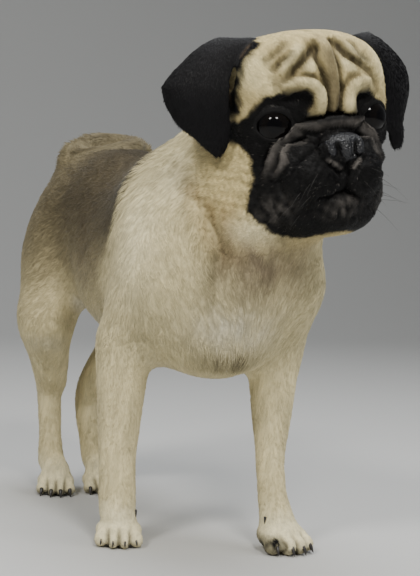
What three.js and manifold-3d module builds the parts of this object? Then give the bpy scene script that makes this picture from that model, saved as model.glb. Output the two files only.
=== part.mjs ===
// A life-size still model of a standing pug: square body on straight legs, wrinkled
// black-masked head tilted to its right, folded ears and a curled tail.
//
// Millimetres. The dog faces -Y, its left side is +X and +Z is up. Everything is laid
// out from the point on the floor midway between the fore feet. At the end the whole
// dog is shifted so that the origin is the middle of the floor under its outer box.
//
// The flesh is one rounded body: named masses (ellipsoids) and limb bones (tapered
// rods) that melt into each other. It is skinned at the fineness each region needs and
// parted at the neck, the legs, the paws and the head by thin cuts.

import * as THREE from 'three';
import { mergeVertices } from 'three/addons/utils/BufferGeometryUtils.js';
import Module from 'manifold-3d';

const wasm = await Module();
wasm.setup();

// Driving dimensions
const cutGap = 0.3;            // clear space between two touching sub-parts
const finestEdge = 0.003;        // edges shorter than this are closed up
const chestHalfWidth = 69;
const chestCentreHeight = 208;
const chestHalfHeight = 79;
const hindSway = -13;          // the hindquarters stand this far to the dog's right
const eyeRadius = 13.5;
const noseSlack = 0.6;         // the facets of the nose and of its seat differ by less than this
const headCentre = new THREE.Vector3(32.5, -69, 309.5);
const headTurn = new THREE.Euler(
  THREE.MathUtils.degToRad(4),     // nods down
  THREE.MathUtils.degToRad(-9),    // tilts, left ear up
  THREE.MathUtils.degToRad(-2),    // turns to its right
  'ZXY',
);
const earSwing = -5;           // both ears are swung this far further than the head

const headPose = new THREE.Matrix4().makeRotationFromEuler(headTurn).setPosition(headCentre);
const headPoseInverse = headPose.clone().invert();
const earPose = headPose.clone().premultiply(
  new THREE.Matrix4()
    .makeTranslation(...headCentre)
    .multiply(new THREE.Matrix4().makeRotationZ(THREE.MathUtils.degToRad(earSwing)))
    .multiply(new THREE.Matrix4().makeTranslation(...headCentre.clone().negate())),
);

// Colours of the coat and the bare parts
const fawn = new THREE.MeshStandardMaterial({ color: 0xb9aa88, roughness: 0.85, metalness: 0 });
const cream = new THREE.MeshStandardMaterial({ color: 0xd8cda9, roughness: 0.85, metalness: 0 });
const black = new THREE.MeshStandardMaterial({ color: 0x17161a, roughness: 0.7, metalness: 0 });
const eyeGloss = new THREE.MeshStandardMaterial({ color: 0x0d0b0c, roughness: 0.06, metalness: 0 });

// Rounded masses. Each returns a signed distance, negative inside.

function mass(at, radii, { turn = [0, 0, 0], square = 2 } = {}) {
  const angles = turn.map(THREE.MathUtils.degToRad);
  const inverse = new THREE.Matrix4()
    .makeRotationFromEuler(new THREE.Euler(...angles))
    .setPosition(...at)
    .invert();
  const q = new THREE.Vector3();
  return (p) => {
    q.copy(p).applyMatrix4(inverse);
    const reach = (Math.abs(q.x / radii[0]) ** square
      + Math.abs(q.y / radii[1]) ** square
      + Math.abs(q.z / radii[2]) ** square) ** (1 / square);
    if (reach < 1e-6) return -Math.min(...radii);
    return (reach - 1) * q.length() / reach * (reach < 1 ? 0.8 : 1);
  };
}

function rod(from, to, radiusFrom, radiusTo) {
  const a = new THREE.Vector3(...from);
  const axis = new THREE.Vector3(...to).sub(a);
  const lengthSquared = axis.lengthSq();
  const q = new THREE.Vector3();
  return (p) => {
    q.copy(p).sub(a);
    const along = THREE.MathUtils.clamp(q.dot(axis) / lengthSquared, 0, 1);
    q.addScaledVector(axis, -along);
    return q.length() - THREE.MathUtils.lerp(radiusFrom, radiusTo, along);
  };
}

function melt(pieces, softness) {
  return (p) => {
    let d = pieces[0](p);
    for (let i = 1; i < pieces.length; i += 1) {
      const e = pieces[i](p);
      const overlap = Math.max(softness - Math.abs(d - e), 0) / softness;
      d = Math.min(d, e) - overlap * overlap * softness / 4;
    }
    return d;
  };
}

// Trunk

const trunk = melt([
  mass([0, 62, chestCentreHeight], [chestHalfWidth, 100, chestHalfHeight]),
  mass([0, -14, 198], [56, 48, 66]),
  mass([1, 6, 152], [34, 52, 25]),
  mass([1, 38, 262], [36, 64, 30]),
  mass([-6, 150, 229], [55, 78, 65]),
  mass([hindSway + 1.5, 212, 240], [48, 50, 55]),
  mass([-5, 112, 178], [48, 66, 32]),
], 24);

const neck = melt([
  rod([1, 14, 236], [27, -42, 298], 61, 52),
  rod([1, -22, 214], [21, -48, 266], 49, 45),
], 22);

// Legs. Each fore leg is shoulder, upper arm, forearm and pastern; each hind leg is
// thigh, second thigh and hock. The two of a pair stand differently, as they do in life.

const foreLegs = [
  {
    name: 'right', side: -1, shoulder: 41, elbow: [-55.5, 30, 150], wrist: [-57.5, 25, 46], paw: [-58.5, 14, 0], turn: -20,
    wristRadius: 13.4,
  },
  {
    name: 'left', side: 1, shoulder: 38, elbow: [55, 4, 150], wrist: [47.5, -16, 52], paw: [52.5, -29, 0], turn: 8,
    wristRadius: 10.6,
  },
];

const hindLegs = [
  {
    name: 'right', side: -1, hip: [-45.5, 212, 212], knee: [-59, 190, 158], hock: [-40, 239, 80], paw: [-40, 208, 0], turn: -18,
  },
  {
    name: 'left', side: 1, hip: [20, 208, 212], knee: [22, 188, 156], hock: [-6, 238, 74], paw: [1, 209, 0], turn: -6,
  },
];

function foreLegMass(leg) {
  const [ex, ey, ez] = leg.elbow;
  const [wx, wy, wz] = leg.wrist;
  const [px, py] = leg.paw;
  const s = leg.side;
  const r = leg.wristRadius;
  const shoulder = mass([s * leg.shoulder, ey * 0.4, 216], [27, 42, 64], { turn: [-8, s * 4, 0] });
  const upperArm = rod([s * 48, ey - 34, 196], [ex, ey - 4, ez + 4], 28, 21);
  const foreArm = rod([ex, ey, ez - 8], [wx, wy + 2, wz + 6], 20.5, r - 0.4);
  const wrist = rod([wx, wy, wz + 4], [wx, wy - 2, wz - 8], r, r - 0.4);
  const pastern = rod([wx, wy - 2, wz - 8], [px, py + 6, 17], r - 0.4, 13);
  return melt([shoulder, upperArm, melt([foreArm, wrist, pastern], 4)], 14);
}

function hindLegMass(leg) {
  const [hx, hy, hz] = leg.hip;
  const [kx, ky, kz] = leg.knee;
  const [ox, oy, oz] = leg.hock;
  const [px, py] = leg.paw;
  const thigh = mass([hx, hy + 4, hz - 14], [28.5, 48, 60], { turn: [14, 0, 0] });
  const stifle = mass([kx, ky + 12, kz - 2], [21, 31, 31]);
  const shank = rod([kx, ky + 8, kz - 8], [ox, oy - 8, oz + 12], 22, 13.4);
  const heel = rod([ox, oy + 2, oz + 4], [ox, oy - 6, oz - 12], 9.6, 9.4);
  const hockShaft = rod([ox, oy - 6, oz - 12], [px, py + 14, 20], 9.6, 11.2);
  return melt([thigh, stifle, melt([shank, heel, hockShaft], 6)], 14);
}

// Paws: a heel pad, four toes that fan out, and the floor as a cut

const soleSink = 1.6;          // how far a pad would sink into the floor, so it stands on a flat

const forePaw = { toeSpread: 8.6, toeRadius: 6.6, toeLength: 12, pad: [14.5, 15, 11], reach: 13, dewclawHeight: 30 };
const hindPaw = { toeSpread: 8, toeRadius: 6.2, toeLength: 11, pad: [12.8, 14, 10], reach: 12 };

function pawPlace(leg) {
  return new THREE.Matrix4()
    .makeRotationZ(THREE.MathUtils.degToRad(leg.turn))
    .setPosition(...leg.paw);
}

function toeTip(kind, index) {
  const across = (index - 1.5) * kind.toeSpread;
  const setBack = Math.abs(index - 1.5) > 1 ? 5.5 : 0;
  return new THREE.Vector3(across, -kind.reach + setBack, kind.toeRadius - soleSink);
}

function pawMasses(leg, kind) {
  const place = pawPlace(leg);
  const at = (x, y, z) => new THREE.Vector3(x, y, z).applyMatrix4(place).toArray();
  const toes = [0, 1, 2, 3].map((index) => {
    const tip = toeTip(kind, index);
    const root = at(tip.x * 0.72, tip.y + kind.toeLength, tip.z + 3.5);
    return rod(root, at(tip.x, tip.y, tip.z), kind.toeRadius, kind.toeRadius * 0.92);
  });
  return {
    heel: mass(at(0, 4, kind.pad[2] - soleSink), kind.pad, { turn: [0, 0, leg.turn] }),
    toes,
  };
}

// Head, in its own frame: x to its left, y to the back, z up, origin between the cheek
// bones. The muzzle is short and deep, so the nose is only 60 mm in front of the origin.

const skull = melt([
  mass([0, 12, 18], [56, 48, 44], { square: 2.7 }),
  mass([0, -6, 24], [50, 34, 36], { square: 2.6 }),
  mass([36, -13, -3], [16, 21, 25]),
  mass([-36, -13, -3], [16, 21, 25]),
  mass([28.5, -5, -20], [16, 28, 32]),
  mass([-28.5, -5, -20], [16, 28, 32]),
  mass([0, -12, -44], [39, 33, 33], { square: 3 }),
], 9);

const muzzle = melt([
  mass([15.5, -37, -34], [19.5, 18, 20], { turn: [0, 14, 0] }),
  mass([-15.5, -37, -34], [19.5, 18, 20], { turn: [0, -14, 0] }),
  mass([24, -27, -46], [15, 18, 15], { turn: [0, 30, 0] }),
  mass([-24, -27, -46], [15, 18, 15], { turn: [0, -30, 0] }),
  mass([0, -37, -18], [19, 13, 15]),
  mass([0, -35, -57], [17, 15, 14]),
], 4);

const noseLeather = mass([0, -47, -15.5], [15, 9.5, 10.5], { square: 2.4 });

const headCore = melt([skull, muzzle], 6);

// Folds of the face, as lines in the front view. Each is [x, z] points for the left
// half; a width, and a height that is negative for a furrow.

const folds = [
  { name: 'nose roll', width: 5, height: 3.8, line: [[0, 0], [11.5, -1.5], [22, -6], [31, -13], [36, -20], [38.5, -28]] },
  { name: 'under the nose roll', width: 3.3, height: -2.2, line: [[13, -7.5], [20, -9.5], [27, -15], [33, -22], [37, -31]] },
  { name: 'over the nose roll', width: 3.6, height: -3, line: [[0, 5], [14, 4.5], [24, 1.5], [32, -5], [40, -14], [45, -22]] },
  { name: 'under the eye', width: 3.4, height: -1.4, line: [[33, -12.5], [39, -15.5], [45, -13], [50, -6]] },
  { name: 'brow roll', width: 4.8, height: 3.4, line: [[11, 8], [9, 16], [11.5, 23], [18, 27], [26, 27], [34, 24.5], [42, 20], [47, 14]] },
  { name: 'over the brow roll', width: 3.4, height: -2, line: [[8, 25], [12, 31], [20, 33], [29, 32], [39, 28.5]] },
  { name: 'mid wrinkle', width: 4.4, height: 1.6, line: [[0, 9], [1.5, 24], [1.5, 36], [1.5, 52]], single: true },
  { name: 'right of the mid wrinkle', width: 3, height: -2.4, line: [[-3.4, 7], [-3.6, 20], [-4, 33], [-6, 43], [-6, 51]], single: true },
  { name: 'left of the mid wrinkle', width: 3, height: -2.4, line: [[3.4, 7], [6, 20], [7.5, 33], [8.5, 43], [8, 53]], single: true },
  { name: 'frown', width: 3.6, height: -2.2, line: [[9, 52], [14.5, 46], [20, 41], [27, 37]] },
  { name: 'outer frown', width: 3.6, height: -1.6, line: [[23, 55], [29, 47], [35, 40]] },
  { name: 'eye hollow', width: 7, height: -2.6, line: [[18, 17], [24, 20], [34, 20]] },
  { name: 'upper lip edge', width: 3.2, height: -1.6, line: [[0, -31], [5, -29], [11, -26], [17, -22]] },
];

function distanceToLine(x, z, line) {
  let nearest = Infinity;
  for (let i = 0; i + 1 < line.length; i += 1) {
    const [ax, az] = line[i];
    const [bx, bz] = line[i + 1];
    const along = THREE.MathUtils.clamp(
      ((x - ax) * (bx - ax) + (z - az) * (bz - az)) / ((bx - ax) ** 2 + (bz - az) ** 2),
      0,
      1,
    );
    nearest = Math.min(nearest, Math.hypot(x - ax - along * (bx - ax), z - az - along * (bz - az)));
  }
  return nearest;
}

function foldHeight(q) {
  const forward = THREE.MathUtils.smoothstep(-q.y, 0, 20)
    * (1 - THREE.MathUtils.smoothstep(Math.abs(q.x), 43, 53));
  if (forward === 0) return 0;
  let height = 0;
  for (const fold of folds) {
    const x = fold.single ? q.x : Math.abs(q.x);
    const away = distanceToLine(x, q.z, fold.line) / fold.width;
    height += fold.height * Math.exp(-away * away);
  }
  return height * forward;
}

const eyes = [
  { name: 'left', at: new THREE.Vector3(35, -23, 2.2), aim: new THREE.Vector3(0.4, -0.91, 0.03) },
  { name: 'right', at: new THREE.Vector3(-35, -23, 2.2), aim: new THREE.Vector3(-0.4, -0.91, 0.03) },
];

const socketLids = eyes.map((eye) => mass(eye.at.toArray(), [15.4, 15, 14.8]));

const head = (() => {
  const q = new THREE.Vector3();
  const shaped = melt([headCore, ...socketLids], 6);
  return (p) => {
    q.copy(p).applyMatrix4(headPoseInverse);
    const d = shaped(q);
    return Math.abs(d) < 30 ? d - foldHeight(q) : d;
  };
})();

// The whole body of flesh, and the parts of it that one sub-part's skin has to see

const foreMasses = foreLegs.map(foreLegMass);
const hindMasses = hindLegs.map(hindLegMass);
const legRoots = melt([...foreMasses, ...hindMasses], 8);
const trunkAndLegs = melt([trunk, legRoots], 16);
const trunkAndNeck = melt([trunkAndLegs, neck], 26);
const flesh = melt([trunkAndNeck, head], 9);

function pawFlesh(leg, kind, legMass) {
  const { heel, toes } = pawMasses(leg, kind);
  const foot = melt([melt(toes, 1.6), melt([heel, legMass], 8)], 5);
  return foot;
}

// Skinning: a closed net of quads, one vertex for each grid cell that the surface
// crosses, drawn onto the surface.

function skinOf(field, box, cell) {
  const n = ['x', 'y', 'z'].map((k) => Math.ceil((box.max[k] - box.min[k]) / cell) + 1);
  const index = (i, j, k) => i + n[0] * (j + n[1] * k);
  const values = new Float64Array(n[0] * n[1] * n[2]);
  const p = new THREE.Vector3();
  const corner = (i, j, k) => p.set(box.min.x + i * cell, box.min.y + j * cell, box.min.z + k * cell);
  for (let k = 0; k < n[2]; k += 1) {
    for (let j = 0; j < n[1]; j += 1) {
      for (let i = 0; i < n[0]; i += 1) {
        const rim = i * j * k === 0 || i === n[0] - 1 || j === n[1] - 1 || k === n[2] - 1;
        const value = field(corner(i, j, k));
        values[index(i, j, k)] = rim ? Math.max(value, cell / 2) : value;
      }
    }
  }
  fillDoubles(values, n, index);
  const vertexOf = new Map();
  const vertices = [];
  const steps = [[1, 0, 0], [0, 1, 0], [0, 0, 1]];
  for (let k = 0; k + 1 < n[2]; k += 1) {
    for (let j = 0; j + 1 < n[1]; j += 1) {
      for (let i = 0; i + 1 < n[0]; i += 1) {
        const sum = [0, 0, 0];
        let crossings = 0;
        for (let c = 0; c < 8; c += 1) {
          const at = [i + (c & 1), j + ((c >> 1) & 1), k + ((c >> 2) & 1)];
          for (let axis = 0; axis < 3; axis += 1) {
            if ((c >> axis) & 1) continue;
            const to = at.map((v, d) => v + steps[axis][d]);
            const a = values[index(...at)];
            const b = values[index(...to)];
            if (a < 0 === b < 0) continue;
            const share = a / (a - b);
            for (let d = 0; d < 3; d += 1) sum[d] += at[d] + share * steps[axis][d];
            crossings += 1;
          }
        }
        if (!crossings) continue;
        corner(...sum.map((v) => v / crossings));
        vertexOf.set(index(i, j, k), vertices.length / 3);
        vertices.push(...settle(field, p, cell * 0.45));
      }
    }
  }
  const triangles = [];
  const apart = (a, b) => [0, 1, 2].reduce((s, d) => s + (vertices[3 * a + d] - vertices[3 * b + d]) ** 2, 0);
  for (let k = 0; k + 1 < n[2]; k += 1) {
    for (let j = 0; j + 1 < n[1]; j += 1) {
      for (let i = 0; i + 1 < n[0]; i += 1) {
        for (let axis = 0; axis < 3; axis += 1) {
          const [di, dj, dk] = steps[axis];
          const inside = values[index(i, j, k)] < 0;
          if (inside === values[index(i + di, j + dj, k + dk)] < 0) continue;
          const u = steps[(axis + 1) % 3];
          const v = steps[(axis + 2) % 3];
          const cellAt = (a, b) => vertexOf.get(
            index(i - a * u[0] - b * v[0], j - a * u[1] - b * v[1], k - a * u[2] - b * v[2]),
          );
          const ring = [cellAt(0, 0), cellAt(1, 0), cellAt(1, 1), cellAt(0, 1)];
          if (!inside) ring.reverse();
          const [a, b, c, d] = ring;
          if (apart(a, c) <= apart(b, d)) triangles.push(a, b, c, a, c, d);
          else triangles.push(b, c, d, b, d, a);
        }
      }
    }
  }
  return solidFrom(vertices, triangles);
}

// Whether the corners of a cell that a mask names hang together along its edges
function joined(mask) {
  let reached = mask & -mask;
  for (let step = 0; step < 64; step += 1) {
    const corner = step % 8;
    if (!((reached >> corner) & 1)) continue;
    reached |= mask & ((1 << (corner ^ 1)) | (1 << (corner ^ 2)) | (1 << (corner ^ 4)));
  }
  return reached === mask;
}

const oneSheet = Array.from({ length: 256 }, (_, mask) => joined(mask) && joined(~mask & 255));

// Where two sheets of the surface would pass through one cell, the space between is filled
function fillDoubles(values, n, index) {
  let filled = true;
  while (filled) {
    filled = false;
    for (let k = 0; k + 1 < n[2]; k += 1) {
      for (let j = 0; j + 1 < n[1]; j += 1) {
        for (let i = 0; i + 1 < n[0]; i += 1) {
          let mask = 0;
          let least = -1;
          for (let c = 0; c < 8; c += 1) {
            const at = index(i + (c & 1), j + ((c >> 1) & 1), k + (c >> 2));
            if (values[at] < 0) mask |= 1 << c;
            else if (least < 0 || values[at] < values[least]) least = at;
          }
          if (oneSheet[mask]) continue;
          values[least] = -1e-3;
          filled = true;
        }
      }
    }
  }
}

function settle(field, start, reach) {
  const p = start.clone();
  const h = 0.05;
  for (let step = 0; step < 4; step += 1) {
    const d = field(p);
    const slope = ['x', 'y', 'z'].map((k) => {
      p[k] += h;
      const ahead = field(p);
      p[k] -= h;
      return (ahead - d) / h;
    });
    const steep = slope.reduce((s, v) => s + v * v, 0);
    if (steep < 1e-6) break;
    p.set(p.x - d * slope[0] / steep, p.y - d * slope[1] / steep, p.z - d * slope[2] / steep);
    const away = p.clone().sub(start);
    if (away.length() > reach) p.copy(start).addScaledVector(away, reach / away.length());
  }
  return p.toArray();
}

// Solids, and the way to and from three.js geometry

function solidFrom(vertices, triangles) {
  return new wasm.Manifold(new wasm.Mesh({
    numProp: 3,
    vertProperties: new Float32Array(vertices),
    triVerts: new Uint32Array(triangles),
  }));
}

function solidOf(geometry, place = new THREE.Matrix4()) {
  const bare = geometry.clone().applyMatrix4(place);
  bare.deleteAttribute('normal');
  bare.deleteAttribute('uv');
  const merged = mergeVertices(bare, 1e-4);
  return solidFrom(merged.attributes.position.array, merged.index.array);
}

function largestOf(solid) {
  return solid.decompose().reduce((a, b) => (b.volume() > a.volume() ? b : a));
}

// Joins the two ends of every edge that is too short to matter, and drops what folds flat
function weld(solid) {
  const { vertProperties: points, triVerts: corners } = solid.getMesh();
  const stand = Uint32Array.from({ length: points.length / 3 }, (_, i) => i);
  const rootOf = (i) => {
    let at = i;
    while (stand[at] !== at) at = stand[at];
    return at;
  };
  for (let t = 0; t < corners.length; t += 1) {
    const a = rootOf(corners[t]);
    const b = rootOf(corners[t % 3 === 2 ? t - 2 : t + 1]);
    const length = Math.hypot(...[0, 1, 2].map((d) => points[3 * a + d] - points[3 * b + d]));
    if (a !== b && length < finestEdge) stand[Math.max(a, b)] = Math.min(a, b);
  }
  const kept = new Map();
  for (let t = 0; t < corners.length; t += 3) {
    const ring = [rootOf(corners[t]), rootOf(corners[t + 1]), rootOf(corners[t + 2])];
    const key = [...ring].sort().join();
    if (new Set(ring).size < 3) continue;
    if (kept.has(key)) kept.delete(key);
    else kept.set(key, ring);
  }
  return solidFrom(points, [...kept.values()].flat());
}

function node(name, solid, material) {
  const body = largestOf(weld(largestOf(solid))).getMesh();
  const geometry = new THREE.BufferGeometry();
  geometry.setAttribute('position', new THREE.BufferAttribute(new Float32Array(body.vertProperties), 3));
  geometry.setIndex(new THREE.BufferAttribute(new Uint32Array(body.triVerts), 1));
  geometry.computeVertexNormals();
  const mesh = new THREE.Mesh(geometry, material.clone());
  mesh.name = name;
  return mesh;
}

// Cuts. A region is the space between planes whose normals point into it; a positive
// `grow` moves them outward.

const inHead = (x, y, z) => new THREE.Vector3(x, y, z).applyMatrix4(headPose);
const headDirection = (x, y, z) => new THREE.Vector3(x, y, z).transformDirection(headPose);

function region(planes, grow) {
  let solid = solidOf(new THREE.BoxGeometry(2000, 2000, 2000));
  for (const { point, normal } of planes) {
    const unit = normal.clone().normalize();
    solid = solid.trimByPlane(unit.toArray(), unit.dot(point) - grow);
  }
  return solid;
}

const plane = (point, normal) => ({ point: new THREE.Vector3(...point), normal: new THREE.Vector3(...normal) });
const behind = ({ point, normal }) => ({ point, normal: normal.clone().negate() });

// A field that ends a little outside the planes, so that the skin closes there
function endAt(field, planes, slack) {
  const limits = planes.map(({ point, normal }) => {
    const unit = normal.clone().normalize();
    return { unit, offset: unit.dot(point) - slack };
  });
  return (p) => limits.reduce((d, { unit, offset }) => Math.max(d, offset - unit.dot(p)), field(p));
}

const boxAround = (low, high) => new THREE.Box3(new THREE.Vector3(...low), new THREE.Vector3(...high));

const neckCut = plane([3, 18, 291], [0.1, -0.66, 0.74]);
const headCut = { point: inHead(0, 50, 34), normal: headDirection(0, -0.91, 0.41) };
const throatCut = { point: inHead(0, -24, -84), normal: headDirection(0, -0.16, 0.99) };
const jawCuts = [-1, 1].map((side) => ({ point: inHead(side * 54, 0, -60), normal: headDirection(-side * 0.75, 0, 0.66) }));
const headPlanes = [headCut, throatCut, ...jawCuts];

const forePlanes = foreLegs.map(({ side }) => [
  plane([side * 34, 0, 122], [side * 41, 0, -50]),
  plane([0, 0, 0], [side, 0, 0]),
  plane([0, 122, 0], [0, -1, 0]),
]);

const hindPlanes = hindLegs.map(({ side }) => [
  plane([hindSway - 1.5, 215, 150], [side * 0.42, 0.18, -0.89]),
  plane([hindSway - 1.5, 0, 0], [side, 0, 0]),
  plane([0, 136, 0], [0, 1, 0]),
]);

const legPlanes = [...forePlanes, ...hindPlanes];

// Trunk and neck

function makeTorso() {
  const field = endAt(trunkAndNeck, [behind(neckCut), plane([0, 0, 122], [0, 0, 1])], 12);
  let body = skinOf(field, boxAround([-100, -90, 96], [100, 290, 330]), 14.8);
  body = body.intersect(region([behind(neckCut)], -cutGap / 2));
  for (const planes of legPlanes) body = body.subtract(region(planes, cutGap / 2));
  return largestOf(body);
}

function makeNeck() {
  const field = endAt(flesh, [neckCut], 12);
  const body = skinOf(field, boxAround([-75, -170, 170], [130, 80, 400]), 12.2);
  return body.intersect(region([neckCut], -cutGap / 2)).subtract(region(headPlanes, cutGap / 2));
}

// The head is skinned finely over the face and coarsely behind it

const faceCut = { point: inHead(0, -18, 0), normal: headDirection(0, -1, 0) };
const lipCut = { point: inHead(0, 0, -37), normal: headDirection(0, 0, 1) };

function makeHead() {
  const box = boxAround([-60, -155, 205], [115, 20, 400]);
  const whole = endAt(flesh, headPlanes, 12);
  const zone = (planes, cell, overlap) => skinOf(endAt(whole, planes, cell * 1.5), box, cell)
    .intersect(region(planes, overlap));
  const face = zone([faceCut, lipCut], 4.3, 0.1);
  const lips = zone([faceCut, behind(lipCut)], 6, 0.05);
  const back = zone([behind(faceCut)], 13.2, 0);
  return face.add(lips).add(back).intersect(region(headPlanes, -cutGap / 2));
}

// The hollow of the ear, which the flap hangs over
function earCup(side) {
  const hollow = new THREE.SphereGeometry(1, 10, 6);
  hollow.scale(8, 9, 14).rotateY(THREE.MathUtils.degToRad(-14 * side)).translate(54 * side, 4, 36);
  return solidOf(hollow, headPose);
}

// Eyes and their lids

function eyePlace(eye) {
  const turn = new THREE.Quaternion().setFromUnitVectors(new THREE.Vector3(0, 0, 1), eye.aim.clone().normalize());
  const local = new THREE.Matrix4().compose(eye.at, turn, new THREE.Vector3(1, 1, 1));
  return headPose.clone().multiply(local);
}

function eyeBall(eye, grow) {
  return solidOf(new THREE.SphereGeometry(eyeRadius + grow, 16, 9), eyePlace(eye));
}

function lidRing(eye) {
  const ring = new THREE.TorusGeometry(12.5, 2, 5, 20);
  ring.scale(1.03, 0.95, 1).translate(0, 0, 5.6);
  return solidOf(ring, eyePlace(eye));
}

function lidOpening(eye) {
  const opening = new THREE.CylinderGeometry(13.5, 10.9, 16, 20);
  opening.rotateX(Math.PI / 2).scale(1.03, 0.95, 1).translate(0, 0, 14);
  return solidOf(opening, eyePlace(eye));
}

// Nostrils, mouth line and philtrum are cut into the muzzle

function tube(line, radius, sides = 6, steps = 16) {
  const curve = new THREE.CatmullRomCurve3(line.map((p) => new THREE.Vector3(...p)));
  const section = new THREE.Shape();
  section.absarc(0, 0, radius, 0, 2 * Math.PI);
  return new THREE.ExtrudeGeometry(section, { steps, extrudePath: curve, curveSegments: sides, bevelEnabled: false });
}

// The point of the face that is seen at [x, z] from the front, sunk or raised by `lift`
function onFace(x, z, lift = 0) {
  const p = new THREE.Vector3();
  const distance = (y) => head(p.set(x, y, z).applyMatrix4(headPose));
  let y = -90;
  while (y < 0 && distance(y) > 0.02) y += Math.max(0.05, 0.5 * distance(y));
  return [x, y - lift, z];
}

function mouthCuts() {
  const corner = [[9, -46], [15, -49.5], [22, -54], [28, -57.5], [33, -60]];
  const cuts = [tube([[0, -24], [0, -34], [0, -44.5]].map(([x, z]) => onFace(x, z, 0.6)), 1.4, 5, 5)];
  for (const side of [-1, 1]) {
    cuts.push(tube([[0, -44], ...corner].map(([x, z]) => onFace(side * x, z, 0.2)), 2.1, 6, 12));
  }
  return cuts.map((geometry) => solidOf(geometry, headPose));
}

function nostril(side) {
  return solidOf(tube([
    [side * 4.6, -61, -10.5], [side * 5.4, -56.5, -16], [side * 8, -54, -20.5], [side * 13, -52.5, -21],
  ], 1.9, 6, 8), headPose);
}

function makeNose(grow) {
  const q = new THREE.Vector3();
  const field = (p) => noseLeather(q.copy(p).applyMatrix4(headPoseInverse)) - grow;
  return skinOf(field, boxAround([0, -150, 265], [60, -90, 320]), 4.9);
}

// Ears: each is a folded flap between a front and a back edge, both from the root at the
// corner of the skull to the tip. Points are in the head's frame, for the left ear.

const ears = [
  {
    name: 'right',
    side: -1,
    front: [
      [30, 2, 60], [40.5, -3, 56], [50.5, -9, 46.5], [57, -14, 34], [59.5, -16, 24], [60, -16, 14], [59, -15, 0.5],
      [63, -13, -12], [68.5, -11, -19],
    ],
    back: [
      [44, 28, 48], [54, 20, 60], [70, 14, 56], [88.5, 12, 43], [99, 10, 34], [100, 6, 25.5], [94, -2, 6.7],
      [82, -7, -4.5], [73.5, -10, -15], [69.5, -11, -19],
    ],
    bulge: 7,
  },
  {
    name: 'left',
    side: 1,
    front: [
      [38, -3, 58], [45, -9, 48], [50.5, -13, 38], [53.5, -15, 25], [55, -15, 11], [55.5, -14, -3], [56.5, -11, -17],
      [61, -9, -26],
    ],
    back: [
      [44, 24, 48], [50, 16, 58.5], [58, 11, 55.5], [69, 11, 47.5], [81, 10, 33], [82.5, 8, 19], [75.5, 2, 3.5],
      [71.5, 0, -4.5], [70, -6, -18], [63, -8.5, -26],
    ],
    bulge: 4,
  },
];

function earFlap(ear) {
  const along = 13;
  const across = 5;
  const edge = (points) => new THREE.CatmullRomCurve3(
    points.map(([x, y, z]) => new THREE.Vector3(ear.side * x, y, z)),
  );
  const front = edge(ear.front);
  const back = edge(ear.back);
  const middle = (u, v) => {
    const a = front.getPointAt(v);
    const b = back.getPointAt(v);
    const p = a.clone().lerp(b, u);
    const lift = ear.bulge * Math.sin(Math.PI * u) * Math.sin(Math.PI * Math.min(1, v * 0.85 + 0.08));
    return p.add(new THREE.Vector3(ear.side * 0.45, -0.55, 0.55).multiplyScalar(lift));
  };
  const faces = [[], []];
  for (let i = 0; i <= along; i += 1) {
    for (let j = 0; j <= across; j += 1) {
      const v = (i / along) * 0.985;
      const u = j / across;
      const h = 0.01;
      const p = middle(u, v);
      const du = middle(Math.min(1, u + h), v).sub(middle(Math.max(0, u - h), v));
      const dv = middle(u, Math.min(1, v + h)).sub(middle(u, Math.max(0, v - h)));
      const normal = du.cross(dv).normalize().multiplyScalar(ear.side);
      const rim = Math.min(1, Math.min(j, across - j, along - i) / 1.2 + 0.35);
      const half = 1.8 * rim * (1 + 0.6 * Math.max(0, 1 - v * 3));
      faces[0].push(p.clone().addScaledVector(normal, half));
      faces[1].push(p.clone().addScaledVector(normal, -half));
    }
  }
  const row = across + 1;
  const count = faces[0].length;
  const triangles = [];
  const quad = (a, b, c, d) => triangles.push(a, b, c, a, c, d);
  for (let i = 0; i < along; i += 1) {
    for (let j = 0; j < across; j += 1) {
      const a = i * row + j;
      const b = count + a;
      quad(a, a + 1, a + row + 1, a + row);
      quad(b, b + row, b + row + 1, b + 1);
    }
  }
  const rim = [];
  for (let j = 0; j < across; j += 1) rim.push([j, j + 1]);
  for (let i = 0; i < along; i += 1) rim.push([i * row + across, (i + 1) * row + across]);
  for (let j = across; j > 0; j -= 1) rim.push([along * row + j, along * row + j - 1]);
  for (let i = along; i > 0; i -= 1) rim.push([i * row, (i - 1) * row]);
  for (const [a, b] of rim) quad(b, a, count + a, count + b);
  const points = [...faces[0], ...faces[1]].flatMap((p) => p.applyMatrix4(earPose).toArray());
  if (ear.side < 0) {
    for (let t = 0; t < triangles.length; t += 3) {
      [triangles[t + 1], triangles[t + 2]] = [triangles[t + 2], triangles[t + 1]];
    }
  }
  return solidFrom(points, triangles);
}

// Tail: one and a bit curls that lie on the rump, lower on its right side

const tail = {
  centre: new THREE.Vector3(1, 221, 287),
  normal: new THREE.Vector3(-0.2, -0.06, 1).normalize(),
  rise: 13.5,
  startAngle: 128,
  turn: 385,
  outerRadius: 32,
  innerRadius: 10,
  rootThickness: 14,
  tipThickness: 10.5,
};

function tailCurl() {
  const across = new THREE.Vector3(1, 0, 0).addScaledVector(tail.normal, -tail.normal.x).normalize();
  const along = tail.normal.clone().cross(across);
  const points = [new THREE.Vector3(hindSway, 238, 262)];
  const steps = 16;
  for (let i = 0; i <= steps; i += 1) {
    const share = i / steps;
    const angle = THREE.MathUtils.degToRad(tail.startAngle + tail.turn * share);
    const radius = THREE.MathUtils.lerp(tail.outerRadius, tail.innerRadius, share);
    points.push(tail.centre.clone()
      .addScaledVector(across, radius * Math.cos(angle))
      .addScaledVector(along, radius * Math.sin(angle))
      .addScaledVector(tail.normal, tail.rise * share));
  }
  return new THREE.CatmullRomCurve3(points);
}

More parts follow.
